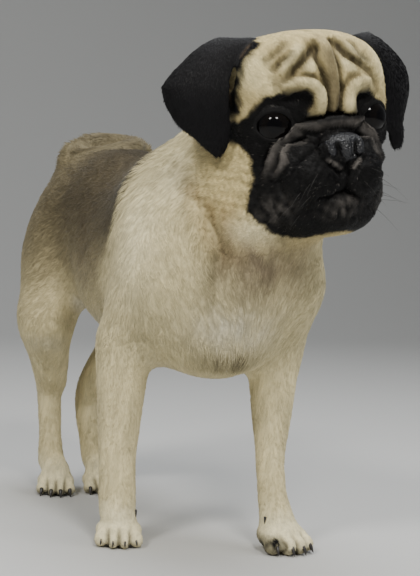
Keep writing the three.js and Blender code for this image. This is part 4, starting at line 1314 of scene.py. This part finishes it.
flank = ease(-dz, -262, -205)
shoulder = ease(-dy, -60, -25) * ease(-dz, -270, -235)
breast = ease(-dy, -5, 30) * ease(-dz, -262, -238)
neck = ease(-dy, -28, 4) * ease(dz, 236, 262)
rump = ease(dy, 205, 245) * ease(-dz, -285, -240)
lie = vectors(0.0, 1.0, -0.12)
lie = blend_in(lie, (0, 0.82, -0.57), flank)
lie = blend_in(lie, (0, 0.3, -0.95), shoulder)
lie = blend_in(lie, vectors((8 - dx) * 0.02, 0.25, -1), breast)
lie = blend_in(lie, (-0.1, 0.55, -0.83), neck)
lie = blend_in(lie, (0, 0.35, -0.94), rump)
lie = blend_in(lie, (0, 0.16, -0.98), ease(-dz, -178, -130))
for plan in paw_plans.values():
    px, py, _ = plan["at"]
    near_paw = ease(-np.hypot(dx - px, dy - py), -40, -28) * ease(-dz, -34, -14)
    forward = paw_place(plan, 0, -1, 0) - paw_place(plan, 0, 0, 0)
    lie = blend_in(lie, (forward[0], forward[1], -0.55), near_paw)
print("hair laid on the body")

# %% Lie of the hair on head, ears and tail
ear_hang = {"left": (0.25, 0.1, -1), "right": (-0.35, 0.05, -1)}
tail_centre, tail_axis = np.array([1.0, 221.0, 288.0]), np.array([-0.2, -0.06, 1.0])

on_front = ease(-hy, -10, 8)
head_lie = vectors(0.0, 30.0, -12.0)
head_lie = blend_in(head_lie, vectors(0.45 * hx, 18, 24), ease(hz, -2, 12) * ease(-hy, -20, 0))
head_lie = blend_in(head_lie, vectors(hx * 0.9, 22, (hz + 12) * 0.75), ease(-hz, -2, 4) * on_front)
head_lie = blend_in(head_lie, vectors(hx * 0.5, 18, -22), ease(-hz, 38, 52) * on_front)
head_lie = head_lie @ head_turn.T
head_lie /= np.linalg.norm(head_lie, axis=1)[:, None]
lie = lie * (1 - in_head[:, None]) + in_head[:, None] * head_lie
for side, amount in on_ear.items():
    lie = blend_in(lie, np.array(ear_hang[side]) @ head_turn.T, amount)
lie = blend_in(lie, np.cross(tail_axis, dog_skin - tail_centre), on_tail)
lie -= normals * np.sum(lie * normals, axis=1)[:, None]
lie /= np.maximum(np.linalg.norm(lie, axis=1), 1e-6)[:, None]
print("share of hair that points down:", round(float((lie[:, 2] < 0).mean()), 2))

# %% [markdown]
# The hair is longest on the trunk and the tail, and shortest on face, ears and paws. It is
# a little longer where the pale ruff ends at the saddle, and there is a fringe between the
# forelegs. No hair grows in the eyes, under the nose leather or on the soles.

# %% Length, width and lift
fringe = near_spot((-5, -46, 139), (40, 18, 9)) * trunk
ruff = np.exp(-((dy - saddle_front + 2) / 9) ** 2) * trunk * ease(dz, 195, 225)
hair_length = by_region(body=8.0, leg=5.0, paw=3.0, head=4.6, face=2.6, ear=3.0, tail=9)
hair_length += 7 * fringe + 5 * ruff
hair_width = by_region(body=0.46, leg=0.4, paw=0.32, head=0.36, face=0.28, ear=0.32, tail=0.5)
hair_lift = by_region(body=3.8, leg=3, paw=3.5, head=5, face=8, ear=4, tail=5)
hair_lift += 3 * ruff + 7 * fringe
print("hair", round(float(hair_length.min()), 1), "to", round(float(hair_length.max()), 1), "mm long")

# %% Where hair grows
hair_density = by_region(body=0.42, leg=0.5, paw=0.9, head=1.0, face=2.0, ear=0.8, tail=0.9)
hair_density *= 1 - 0.85 * shaded_crease * mask
bare = (dog_skin[:, 2] < 1.2) | (np.linalg.norm((head_skin - nose_spot) / nose_radii, axis=1) < 1.12)
for side in eye_spots:
    gap, reach = lid_gap(head_skin, side)
    bare |= (gap < 2.5) & (reach < 20)
hair_density[bare] = 0
print("bare vertices:", int(bare.sum()))

# %% [markdown]
# ## Finishes
#
# The skin under the coat and the tufts both take their colour from the painted markings.
# Close to, a coat has streaks along its lie and small differences from hair to hair, so
# fine noise varies the colour and raises a low relief. Pale hair is dry and dull. The black
# hair of mask and ears is smoother and shines a little more.

# %% Coat materials


def coat_material(name, roughness, specular, sheen, vary, relief_depth=0.0):
    """The painted markings, made lighter and darker by noise stretched along the hair."""
    material, tree, shader = start_material(name, roughness, specular)
    shader.inputs["Sheen Weight"].default_value = sheen
    shader.inputs["Sheen Roughness"].default_value = 0.45
    link = tree.links.new
    painted = add_node(tree, "ShaderNodeAttribute", attribute_name="coat_colour")
    stretched = add_node(tree, "ShaderNodeAttribute", attribute_name="hair_grain")
    fine = add_node(tree, "ShaderNodeTexNoise", Scale=520.0, Detail=3.0)
    broad = add_node(tree, "ShaderNodeTexNoise", Scale=150.0, Detail=2.0)
    both = add_node(tree, "ShaderNodeMath", operation="ADD")
    half = add_node(tree, "ShaderNodeMath", operation="MULTIPLY")
    half.inputs[1].default_value = 0.5
    spread = add_node(tree, "ShaderNodeMapRange")
    limits = {"From Min": 0.3, "From Max": 0.7, "To Min": 1 - vary, "To Max": 1 + vary}
    for socket, value in limits.items():
        spread.inputs[socket].default_value = value
    tinted = add_node(tree, "ShaderNodeVectorMath", operation="SCALE")
    link(stretched.outputs["Vector"], fine.inputs["Vector"])
    link(stretched.outputs["Vector"], broad.inputs["Vector"])
    link(fine.outputs["Fac"], both.inputs[0])
    link(broad.outputs["Fac"], both.inputs[1])
    link(both.outputs["Value"], half.inputs[0])
    link(half.outputs["Value"], spread.inputs["Value"])
    link(painted.outputs["Color"], tinted.inputs[0])
    link(spread.outputs["Result"], tinted.inputs["Scale"])
    link(tinted.outputs["Vector"], shader.inputs["Base Color"])
    if relief_depth:
        relief = add_node(tree, "ShaderNodeBump", Strength=0.8, Distance=relief_depth)
        link(fine.outputs["Fac"], relief.inputs["Height"])
        link(relief.outputs["Normal"], shader.inputs["Normal"])
    return material


skin_finish = coat_material("skin_under_coat", 0.75, 0.15, sheen=0.05, vary=0.24, relief_depth=0.0007)
pale_finish = coat_material("pale_coat", 0.7, 0.15, sheen=0.08, vary=0.24)
dark_finish = coat_material("black_coat", 0.42, 0.2, sheen=0.0, vary=0.35)
print("coat finishes made")

# %% [markdown]
# The noise of a coat should run in streaks along the hair. It is read at coordinates that
# are squeezed along the lie, one direction for each part of the body, and are stored on the
# mesh beside the colour.

# %% Streaks of the hair
squeeze = 0.86
grain_axis = vectors(0.0, 0.86, -0.5)
grain_axis[dz < 150] = (0, 0.15, -0.99)
grain_axis[in_head > 0.5] = head_turn @ np.array([0, 0.7, 0.7])
grain_axis[any_ear > 0.3] = (0, 0, 1)
grain_axis /= np.linalg.norm(grain_axis, axis=1)[:, None]
along_grain = np.sum(row_skin * grain_axis, axis=1)
grain = row_skin - grain_axis * (squeeze * along_grain)[:, None]
print("streaks are", round(1 / (1 - squeeze)), "times as long as they are wide")

# %% Paint the skin


def add_colour(mesh, name, colours):
    painted = mesh.color_attributes.new(name, "FLOAT_COLOR", "POINT")
    rgba = np.ones((len(colours), 4), dtype=np.float32)
    rgba[:, :3] = colours
    painted.data.foreach_set("color", rgba.ravel())


def add_vector(mesh, name, values):
    stored = mesh.attributes.new(name, "FLOAT_VECTOR", "POINT")
    stored.data.foreach_set("vector", np.asarray(values, dtype=np.float32).ravel())


add_colour(skin.data, "coat_colour", coat * 0.95)
add_vector(skin.data, "hair_grain", grain)
skin.data.materials.append(skin_finish)
skin.data.polygons.foreach_set("use_smooth", np.ones(len(skin.data.polygons), dtype=bool))
skin.data.update()
for name in flesh_names + paw_names:
    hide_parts(name)
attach(skin, "root")
print("the skin replaces", len(flesh_names + paw_names), "solids")

# %% [markdown]
# ## An unwrap for the coat
#
# The export bakes the coat's colours through a flat map, and each tuft needs its own spot on
# it. A coarse copy of the skin unwraps quickly, and every tuft then takes the place on that
# map which lies under its root.

# %% Coarse copy and its unwrap
coarse_spacing = 0.005

coarse = bpy.data.objects.new("coarse_skin", skin.data.copy())
bpy.context.scene.collection.objects.link(coarse)
pick_only(coarse)
remesh_into_one(coarse, coarse_spacing)
bpy.ops.object.mode_set(mode="EDIT")
bpy.ops.mesh.select_all(action="SELECT")
bpy.ops.mesh.quads_convert_to_tris()
bpy.ops.uv.smart_project(angle_limit=math.radians(66), island_margin=0.002)
bpy.ops.object.mode_set(mode="OBJECT")
coarse_ids = triangles_of(coarse.data)
coarse_uv = np.empty(len(coarse.data.loops) * 2)
coarse.data.uv_layers.active.uv.foreach_get("vector", coarse_uv)
coarse_uv = coarse_uv.reshape(-1, 2)[triangles_of(coarse.data, "loops")]
coarse_points = corners_of(coarse.data)
coarse_tree = BVHTree.FromPolygons(
    [Vector(p) for p in coarse_points], coarse_ids.tolist(), all_triangles=True
)
bpy.data.objects.remove(coarse)
print("coarse skin:", len(coarse_ids), "triangles")

# %% Places on the map


def places_on_map(points):
    """The unwrap's coordinates under each point."""
    chosen = np.empty(len(points), dtype=np.int64)
    hits = np.empty((len(points), 3))
    for i, point in enumerate(points):
        found = coarse_tree.find_nearest(Vector(point))
        chosen[i], hits[i] = found[2], found[0]
    a, b, c = (coarse_points[coarse_ids[chosen][:, k]] for k in range(3))
    v0, v1, v2 = b - a, c - a, hits - a
    d00, d01, d11 = (v0 * v0).sum(1), (v0 * v1).sum(1), (v1 * v1).sum(1)
    d20, d21 = (v2 * v0).sum(1), (v2 * v1).sum(1)
    scale = np.maximum(d00 * d11 - d01 * d01, 1e-18)
    share_b = (d11 * d20 - d01 * d21) / scale
    share_c = (d00 * d21 - d01 * d20) / scale
    shares = np.stack([1 - share_b - share_c, share_b, share_c], 1)
    return (coarse_uv[chosen] * shares[:, :, None]).sum(1)


print("the first vertex of the skin lies on the map at", places_on_map(row_skin[:1]).round(2)[0])

# %% [markdown]
# ## Tufts
#
# Hair could be a particle system, but the dog has to be a solid mesh. So each tuft is a thin
# closed spike of ten triangles: three sides, bent once, rooted under the skin. They are sown
# at random over the skin, thickest on the face where they are smallest, and they lean along
# the lie of the coat with a little disorder.

# %% Sow the roots
most_tufts, quick_share = 148000, 4

dice = np.random.default_rng(7)
tri = triangles_of(skin.data)
first, second, third = (row_skin[tri[:, k]] for k in range(3))
area = 0.5 * np.linalg.norm(np.cross(second - first, third - first), axis=1) * 1e6
want = area * hair_density[tri].mean(1) * (hair_density[tri].min(1) > 0)
tuft_count = min(int(want.sum()), most_tufts)
chosen_tri = np.searchsorted(np.cumsum(want) / want.sum(), dice.random(tuft_count))
chosen_tri = np.minimum(chosen_tri, len(tri) - 1)
u, v = dice.random(tuft_count), dice.random(tuft_count)
over = u + v > 1
u[over], v[over] = 1 - u[over], 1 - v[over]
shares = np.stack([1 - u - v, u, v], 1)
print("skin", round(area.sum() / 100), "cm2,", tuft_count, "tufts")

# %% Direction of the tufts
stray_degrees = 9


def at_roots(values):
    """The value of the skin at each root, mixed from the corners of its triangle."""
    picked = values[tri[chosen_tri]]
    if values.ndim == 1:
        return (picked * shares).sum(1)
    return (picked * shares[:, :, None]).sum(1)


root = at_roots(row_skin)
root_normal = at_roots(normals_of(skin.data))
root_normal /= np.linalg.norm(root_normal, axis=1)[:, None]
flow = at_roots(lie)
aside = np.cross(root_normal, flow)
aside /= np.maximum(np.linalg.norm(aside, axis=1), 1e-6)[:, None]
flow = np.cross(aside, root_normal)
stray = np.radians(dice.normal(0, stray_degrees, tuft_count))[:, None]
turned_flow = flow * np.cos(stray) + aside * np.sin(stray)
aside = aside * np.cos(stray) - flow * np.sin(stray)
flow = turned_flow
print("strays reach", round(float(np.degrees(np.abs(stray).max()))), "degrees")

# %% Shape of the tufts
root_depth = 0.0004

length = at_roots(hair_length) * dice.uniform(0.7, 1.2, tuft_count) * 0.001
width = at_roots(hair_width) * dice.uniform(0.75, 1.25, tuft_count) * 0.001
lift = np.radians(at_roots(hair_lift) * dice.uniform(0.5, 1.6, tuft_count))
rise, run = np.sin(lift)[:, None], np.cos(lift)[:, None]
mid = root + (flow * run + root_normal * rise * 1.5) * (length * 0.5)[:, None]
tip = root + (flow * run + root_normal * rise * 0.9) * length[:, None]
start = root - root_normal * root_depth
half, thick = (width * 0.5)[:, None], (width * 0.3)[:, None]
ring_a = [start - aside * half, start + aside * half, start + root_normal * thick * 2]
ring_b = [mid - aside * half * 0.8, mid + aside * half * 0.8, mid + root_normal * thick * 2]
spikes = np.stack([*ring_a, *ring_b, tip], axis=1)
spikes[..., 2] = np.maximum(spikes[..., 2], 0.0001)
print("tufts are", round(float(length.mean() * 1000), 1), "mm long on average")

# %% Colour of the tufts
# Each tuft is a little lighter or darker than the skin, and a few dark ones of the face are
# grey specks that stand for painted glints of light
glint_share = 0.012

root_head, root_ear, darkness = at_roots(in_head), at_roots(any_ear), at_roots(dark)
shade = dice.normal(1.0, 0.085 + 0.06 * root_head * (1 - root_ear), tuft_count)
on_dark_face = (darkness > 0.5) & (at_roots(in_face) > 0.3) & (at_roots(any_ear + ear_root) < 0.05)
glint_speck = on_dark_face & (dice.random(tuft_count) < glint_share)
hue = np.clip(at_roots(coat) * shade[:, None] * 1.02, 0.002, 1)
# Painted glints: the grey specks on the dark face.
hue[glint_speck] = sheen_grey * 0.8
map_place = places_on_map(root)
root_grain = at_roots(grain)
print("bristles:", int(glint_speck.sum()))

# %% [markdown]
# The tufts are knitted into a few pieces by region, each of them under the limit for one
# piece. A tuft has seven corners. Its normals are mostly those of the skin below, so that
# the coat takes the light as one soft surface, and it is a little darker at its root.

# %% Mesh of many tufts
corner_count = 7
spike_faces = np.array([
    (0, 1, 4), (0, 4, 3), (1, 2, 5), (1, 5, 4), (2, 0, 3),
    (2, 3, 5), (3, 4, 6), (4, 5, 6), (5, 3, 6), (0, 2, 1),
])


def spikes_mesh(name, chosen):
    """The mesh of the chosen tufts, smooth and closed."""
    mesh = bpy.data.meshes.new(name)
    first_corners = corner_count * np.arange(len(chosen))
    faces = (spike_faces[None] + first_corners[:, None, None]).reshape(-1, 3)
    mesh.vertices.add(len(chosen) * corner_count)
    mesh.vertices.foreach_set("co", spikes[chosen].reshape(-1).astype(np.float32))
    mesh.loops.add(len(faces) * 3)
    mesh.loops.foreach_set("vertex_index", faces.ravel().astype(np.int32))
    mesh.polygons.add(len(faces))
    mesh.polygons.foreach_set("loop_start", (np.arange(len(faces)) * 3).astype(np.int32))
    mesh.polygons.foreach_set("use_smooth", np.ones(len(faces), dtype=bool))
    mesh.update(calc_edges=True)
    return mesh, faces


print("a tuft has", len(spike_faces), "faces and", spikes.shape[1], "corners")

# %% Finish a piece of the coat
own_share, skin_share = 0.35, 0.65
corner_tones = np.array([0.88, 0.88, 0.92, 0.98, 0.98, 1.0, 1.05])
map_patch = 0.003 * np.array([
    (0, 0), (1, 0), (0.5, 0.3), (0.15, 0.6), (0.85, 0.6), (0.5, 0.7), (0.5, 1),
])


def knit(name, chosen):
    """One piece of the coat, with its normals, colours, grain and place on the map."""
    mesh, faces = spikes_mesh(name, chosen)
    under = np.repeat(root_normal[chosen], corner_count, axis=0)
    soft = normals_of(mesh) * own_share + under * skin_share
    mesh.normals_split_custom_set_from_vertices(soft / np.linalg.norm(soft, axis=1)[:, None])
    tone = hue[chosen][:, None, :] * corner_tones[None, :, None]
    add_colour(mesh, "coat_colour", np.clip(tone.reshape(-1, 3), 0, 1))
    add_vector(mesh, "hair_grain", np.repeat(root_grain[chosen], corner_count, axis=0))
    flat_map = mesh.uv_layers.new(name="OFBake", do_init=False)
    spots = (map_place[chosen][:, None, :] + map_patch[None]).reshape(-1, 2)[faces.ravel()]
    flat_map.uv.foreach_set("vector", np.clip(spots, 0, 1).ravel().astype(np.float32))
    piece = bpy.data.objects.new(name, mesh)
    bpy.context.scene.collection.objects.link(piece)
    black = name.startswith("coat_face_dark")
    mesh.materials.append(dark_finish if black else pale_finish)
    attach(piece, "root")


print("a tuft's tip is", round(corner_tones[-1] / corner_tones[0], 2), "times as light as its root")

# %% Knit the coat region by region
most_in_piece = 19000

root_dog = to_dog(root)
of_head, is_low, is_back = root_head > 0.5, root_dog[:, 2] <= 118, root_dog[:, 1] >= 42
regions = {
    "coat_face_dark": (darkness > 0.5) & of_head,
    "coat_head_pale": (darkness <= 0.5) & of_head,
    "coat_fore": ~of_head & ~is_back & ~is_low,
    "coat_back": ~of_head & is_back & ~is_low,
    "coat_legs": ~of_head & is_low,
}
for region, inside in regions.items():
    members = np.nonzero(inside)[0]
    parts = max(1, math.ceil(len(members) / most_in_piece))
    for number, part in enumerate(np.array_split(members, parts)):
        knit(f"{region}_{number + 1}", part)
    print(region, len(members), "tufts in", parts, "pieces")

# %% [markdown]
# ## Eyes
#
# A pug's eyes are large, round and very dark, and they are always wet. Each is a ball with a
# slightly raised cornea. The brown iris hardly shows, so most of the look is the gloss: a
# smooth shader with a thin clear coat over near black.

# %% Finish of the eyes
eye_finish, eye_tree, eye_shader = start_material("wet_eye", 0.04, 0.12)
eye_shader.inputs["Coat Weight"].default_value = 0.1
eye_shader.inputs["Coat Roughness"].default_value = 0.02
eye_paint = add_node(eye_tree, "ShaderNodeAttribute", attribute_name="iris_colour")
eye_flecks = add_node(eye_tree, "ShaderNodeTexNoise", Scale=700.0, Detail=2.0)
eye_place = add_node(eye_tree, "ShaderNodeTexCoord")
eye_mix = add_node(eye_tree, "ShaderNodeVectorMath", operation="SCALE")
eye_tree.links.new(eye_place.outputs["Object"], eye_flecks.inputs["Vector"])
eye_tree.links.new(eye_paint.outputs["Color"], eye_mix.inputs[0])
eye_tree.links.new(eye_flecks.outputs["Fac"], eye_mix.inputs["Scale"])
eye_tree.links.new(eye_mix.outputs["Vector"], eye_shader.inputs["Base Color"])
print("eye finish made")

# %% Eyeballs
ball_radius, cornea_rise = 0.01345, 0.02
iris_brown, pupil_black, rim_black = paint("#120e0c"), paint("#070608"), paint("#0a0809")

for side, eye_spot in eye_spots.items():
    aim, _, _ = eye_axes(side)
    bpy.ops.object.select_all(action="DESELECT")
    bpy.ops.mesh.primitive_ico_sphere_add(
        subdivisions=5, radius=ball_radius, location=to_scene(from_head(eye_spot))
    )
    ball = bpy.context.object
    ball.name = f"eyeball_{side}"
    bpy.ops.object.transform_apply(location=True, rotation=True, scale=True)
    spot = into_head(to_dog(corners_of(ball.data))) - eye_spot
    ray = spot / np.linalg.norm(spot, axis=1)[:, None]
    off_axis = np.degrees(np.arccos(np.clip(ray @ aim, -1, 1)))
    spot *= (1 + cornea_rise * ease(-off_axis, -42, -20))[:, None]
    put_corners(ball.data, to_scene(from_head(spot + eye_spot)))
    iris = layer(np.tile(iris_brown, (len(spot), 1)), pupil_black, ease(-off_axis, -24, -20))
    iris = layer(iris, rim_black, ease(off_axis, 38, 44))
    add_colour(ball.data, "iris_colour", iris)
    ball.data.materials.append(eye_finish)
    bpy.ops.object.shade_smooth()
    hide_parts(f"eye_{side}")
    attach(ball, "root")
    print(ball.name, len(ball.data.polygons), "triangles")

# %% [markdown]
# ## Nose
#
# The nose leather is bare, pebbled, moist skin, black with a blue shine. Its nostrils are
# commas that open to the side, with a shallow groove between them. A ball is pressed square
# to the nose's pad, made narrower below, and the nostrils and the groove are pressed into it.

# %% Pad of the nose
squareness, narrow_below = 2.4, 0.14

bpy.ops.object.select_all(action="DESELECT")
bpy.ops.mesh.primitive_ico_sphere_add(subdivisions=6, radius=1.0, location=(0, 0, 0))
nose = bpy.context.object
nose.name = "nose_leather"
unit = corners_of(nose.data)
unit /= (np.abs(unit) ** squareness).sum(1)[:, None] ** (1 / squareness)
from_middle = unit * (nose_radii + [0.6, 0.9, 0.6])
from_middle[:, 0] *= 1 - narrow_below * ease(-from_middle[:, 2], 1, 9)
nose_points = nose_spot + from_middle
put_corners(nose.data, nose_points)
nose_normals = normals_of(nose.data)
nose_tree = BVHTree.FromPolygons(
    [Vector(p) for p in nose_points], triangles_of(nose.data).tolist(), all_triangles=True
)
print("pad of the nose:", len(nose_points), "vertices")

# %% Nostrils and groove
# Line as x from the middle and z, half width, height
nose_marks = (
    ([(7.4, -11.8), (6.6, -14.4), (6.4, -17.4), (5.6, -20.2)], 1.7, -4.8),
    ([(6.6, -19.2), (9.4, -21.0), (13, -20.6)], 0.9, -2.6),
    ([(2.7, -11), (2.9, -15), (2.7, -22)], 0.6, -0.6),
    ([(10.6, -11.0), (12.2, -14.0), (11, -17.4)], 2.4, 0.9),
)
middle_groove = [(2, -8), (2, -14), (2, -19), (2, -23)]

press = np.zeros(len(nose_points))
for side in (1, -1):
    for mark, width, height in nose_marks:
        mark = [(nose_spot[0] + x * side, z) for x, z in mark]
        away, _ = along_line(nose_points, thrown_onto(nose_tree, mark, 24), 3 * width)
        press += height * np.exp(-(away / width) ** 2)
away, _ = along_line(nose_points, thrown_onto(nose_tree, middle_groove, 24), 6)
press += 0.9 * np.exp(-(away / 1.5) ** 2) - 0.5 * np.exp(-(away / 0.4) ** 2)
nose_points = nose_points + nose_normals * press[:, None]
put_corners(nose.data, to_scene(from_head(nose_points)))
print("nostrils are", round(float(-press.min()), 1), "mm deep")

# %% Finish of the nose
leather_tone = np.array([0.017, 0.0175, 0.021])

nose_finish, leather_tree, nose_shader = start_material("nose_leather", 0.38, 0.45)
nose_shader.inputs["Coat Weight"].default_value = 0.06
nose_shader.inputs["Coat Roughness"].default_value = 0.22
pebbles = add_node(leather_tree, "ShaderNodeTexVoronoi", Scale=750.0)
pebble_place = add_node(leather_tree, "ShaderNodeTexCoord")
pebble_bump = add_node(leather_tree, "ShaderNodeBump", Strength=1.0, Distance=0.0007)
shaded_leather = add_node(leather_tree, "ShaderNodeAttribute", attribute_name="leather_and_nostril_shade")
between = (0.006, 0.006, 0.007)
nose_tone = tint_by(leather_tree, pebbles.outputs["Distance"], nose_shader, between, between)
leather_tree.links.new(pebble_place.outputs["Object"], pebbles.inputs["Vector"])
leather_tree.links.new(pebbles.outputs["Distance"], pebble_bump.inputs["Height"])
leather_tree.links.new(pebble_bump.outputs["Normal"], nose_shader.inputs["Normal"])
leather_tree.links.new(shaded_leather.outputs["Color"], nose_tone.inputs["B"])
# Painted shade: the leather is darker where it is pressed in, in the nostrils and the groove.
add_colour(nose.data, "leather_and_nostril_shade", np.clip(1 + press / 2.2, 0.04, 1)[:, None] * leather_tone)
nose.data.materials.append(nose_finish)
pick_only(nose)
bpy.ops.object.shade_smooth()
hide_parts("nose")
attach(nose, "root")
print("nose:", len(nose.data.polygons), "triangles")

# %% [markdown]
# ## Claws
#
# Each toe ends in a short black claw that curves down to the floor, and each fore leg has a
# dewclaw on its inner side. A claw could be a bent cone, but the bend tool needs a window.
# So its rings are laid out one by one, each smaller and lower than the one before, and the
# claws of a paw are one piece. Whiskers are tubes of the same kind, so they share a helper.

# %% Horn and whisker finishes


def speckled(name, roughness, specular, scale, detail, dark, light):
    """A finish whose colour wanders between two tones."""
    material, tree, shader = start_material(name, roughness, specular)
    place = add_node(tree, "ShaderNodeTexCoord")
    noise = add_node(tree, "ShaderNodeTexNoise", Scale=scale, Detail=detail)
    tree.links.new(place.outputs["Object"], noise.inputs["Vector"])
    tint_by(tree, noise.outputs["Fac"], shader, dark, light)
    return material


horn_tones = (0.012, 0.011, 0.011), (0.045, 0.04, 0.037)
whisker_tones = (0.01, 0.01, 0.01), (0.05, 0.045, 0.04)
claw_finish = speckled("claw_horn", 0.32, 0.5, 350.0, 3.0, *horn_tones)
whisker_finish = speckled("whisker", 0.4, 0.4, 200.0, 2.0, *whisker_tones)
print("finishes:", claw_finish.name, whisker_finish.name)

# %% Rings of a horn or a hair


def rings_of(centres, across_sizes, over_sizes, across, over, sides_round):
    """Rings of points round a row of centres, and the faces between them."""
    points, faces = [], []
    for centre, wide, tall in zip(centres, across_sizes, over_sizes):
        for j in range(sides_round):
            angle = 2 * math.pi * j / sides_round
            points.append(centre + across * (wide * math.cos(angle)) + over * (tall * math.sin(angle)))
    for start in range(0, (len(centres) - 1) * sides_round, sides_round):
        for j in range(sides_round):
            k = (j + 1) % sides_round
            faces.append((start + j, start + k, start + sides_round + k, start + sides_round + j))
    return points, faces


def axes_along(direction, upright):
    direction = np.asarray(direction, float) / np.linalg.norm(direction)
    across = np.cross(direction, upright)
    across /= np.linalg.norm(across)
    return direction, across, np.cross(across, direction)


print("axes of a hair that points ahead:", *(axis.round(1) for axis in axes_along([0, -1, 0], [0, 0, 1])))

# %% One piece of many shells


def piece_of(name, shells, finish):
    """One smooth piece with outward normals, from closed shells in the dog's frame."""
    points, faces = [], []
    for shell_points, shell_faces in shells:
        faces += [tuple(i + len(points) for i in face) for face in shell_faces]
        points += list(shell_points)
    mesh = bpy.data.meshes.new(name)
    mesh.from_pydata([tuple(p) for p in to_scene(np.array(points))], [], faces)
    mesh.materials.append(finish)
    piece = bpy.data.objects.new(name, mesh)
    bpy.context.scene.collection.objects.link(piece)
    pick_only(piece)
    bpy.ops.object.mode_set(mode="EDIT")
    bpy.ops.mesh.select_all(action="SELECT")
    bpy.ops.mesh.normals_make_consistent(inside=False)
    bpy.ops.object.mode_set(mode="OBJECT")
    bpy.ops.object.shade_smooth()
    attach(piece, "root")
    print(name, len(faces), "faces")


# %% Claws
claw_rings, claw_sides, claw_bend = 8, 10, 0.32
dewclaw_long, dewclaw_thick = 5.2, 1.4


def make_claw(base, ahead_dir, length, radius):
    """A tapering horn of rings that bends downwards, closed at both ends."""
    ahead_dir, across, over = axes_along(ahead_dir, [0, 0, 1.0])
    steps = np.arange(claw_rings) / claw_rings
    centres = [base + ahead_dir * (length * t) - over * (claw_bend * length * t * t) for t in steps]
    sizes = radius * (1 - steps) ** 0.7
    points, faces = rings_of(centres, 0.8 * sizes, sizes, across, over, claw_sides)
    points.append(base + ahead_dir * length - over * (claw_bend * length))
    points.append(base - ahead_dir * 0.5)
    last_ring, tip_id, root_id = (claw_rings - 1) * claw_sides, len(points) - 2, len(points) - 1
    for j in range(claw_sides):
        k = (j + 1) % claw_sides
        faces += [(last_ring + j, last_ring + k, tip_id), (k, j, root_id)]
    return np.array(points), faces


def claws_of(plan):
    radius = toe_sizes(plan)["radius"]
    origin = paw_place(plan, 0, 0, 0)
    shells = []
    for across, forward in toe_offsets(plan):
        base = paw_place(plan, across, forward - radius * 0.72, radius * 0.92)
        ahead_dir = paw_place(plan, across * 0.02, -1, 0) - origin + [0, 0, -0.75]
        points, faces = make_claw(base, ahead_dir, *plan["claw"])
        points[:, 2] = np.maximum(points[:, 2], 0.25)
        shells.append((points, faces))
    if plan["fore"]:
        inner = 1 if plan["at"][0] < 0 else -1
        base = paw_place(plan, inner * 11.4 * plan.get("grow", 1), 3.5, 25)
        ahead_dir = paw_place(plan, inner * 0.45, -0.4, 0) - origin + [0, 0, -1.2]
        shells.append(make_claw(base, ahead_dir, dewclaw_long, dewclaw_thick))
    return shells


for paw_name, plan in paw_plans.items():
    piece_of(paw_name.replace("paw", "paw_claws"), claws_of(plan), claw_finish)

# %% [markdown]
# ## Whiskers
#
# A few stiff hairs stand out from the lips. Each is a thin tapering tube that bends a little
# under its own weight. They start at listed spots and point outward at random.

# %% Whiskers
whisker_rings, whisker_sides, whisker_radius = 9, 5, 0.14
whisker_spots = (
    (20, -30), (25, -36), (30, -42), (24, -45), (33, -50), (38, -55), (28, -58), (14, -38),
)


def whisker_tube(start, direction, length, droop):
    direction, across, over = axes_along(direction, [0.1, 0.2, 1.0])
    steps = np.arange(whisker_rings) / (whisker_rings - 1)
    sag = np.array([0, 0, droop * length])
    centres = [start + direction * (length * t) - sag * t * t for t in steps]
    radii = whisker_radius * (1 - 0.85 * steps)
    points, faces = rings_of(centres, radii, radii, across, over, whisker_sides)
    last_ring = (whisker_rings - 1) * whisker_sides
    faces.append(tuple(range(whisker_sides))[::-1])
    faces.append(tuple(last_ring + j for j in range(whisker_sides)))
    return points, faces


whisker_dice = np.random.default_rng(11)
tubes = []
for side in (1, -1):
    for x, z in whisker_spots:
        spot = on_face([(side * x, z), (side * (x + 1), z)], 2)
        if len(spot) == 0:
            continue
        aside_part, back_part = whisker_dice.uniform(0.5, 1.0), whisker_dice.uniform(-0.35, 0.25)
        aim = np.array([side * aside_part, back_part, whisker_dice.uniform(-0.7, 0.1)])
        length, droop = whisker_dice.uniform(13, 24), whisker_dice.uniform(0.1, 0.35)
        points, faces = whisker_tube(spot[0], aim, length, droop)
        tubes.append((from_head(np.array(points)), faces))
piece_of("whiskers", tubes, whisker_finish)
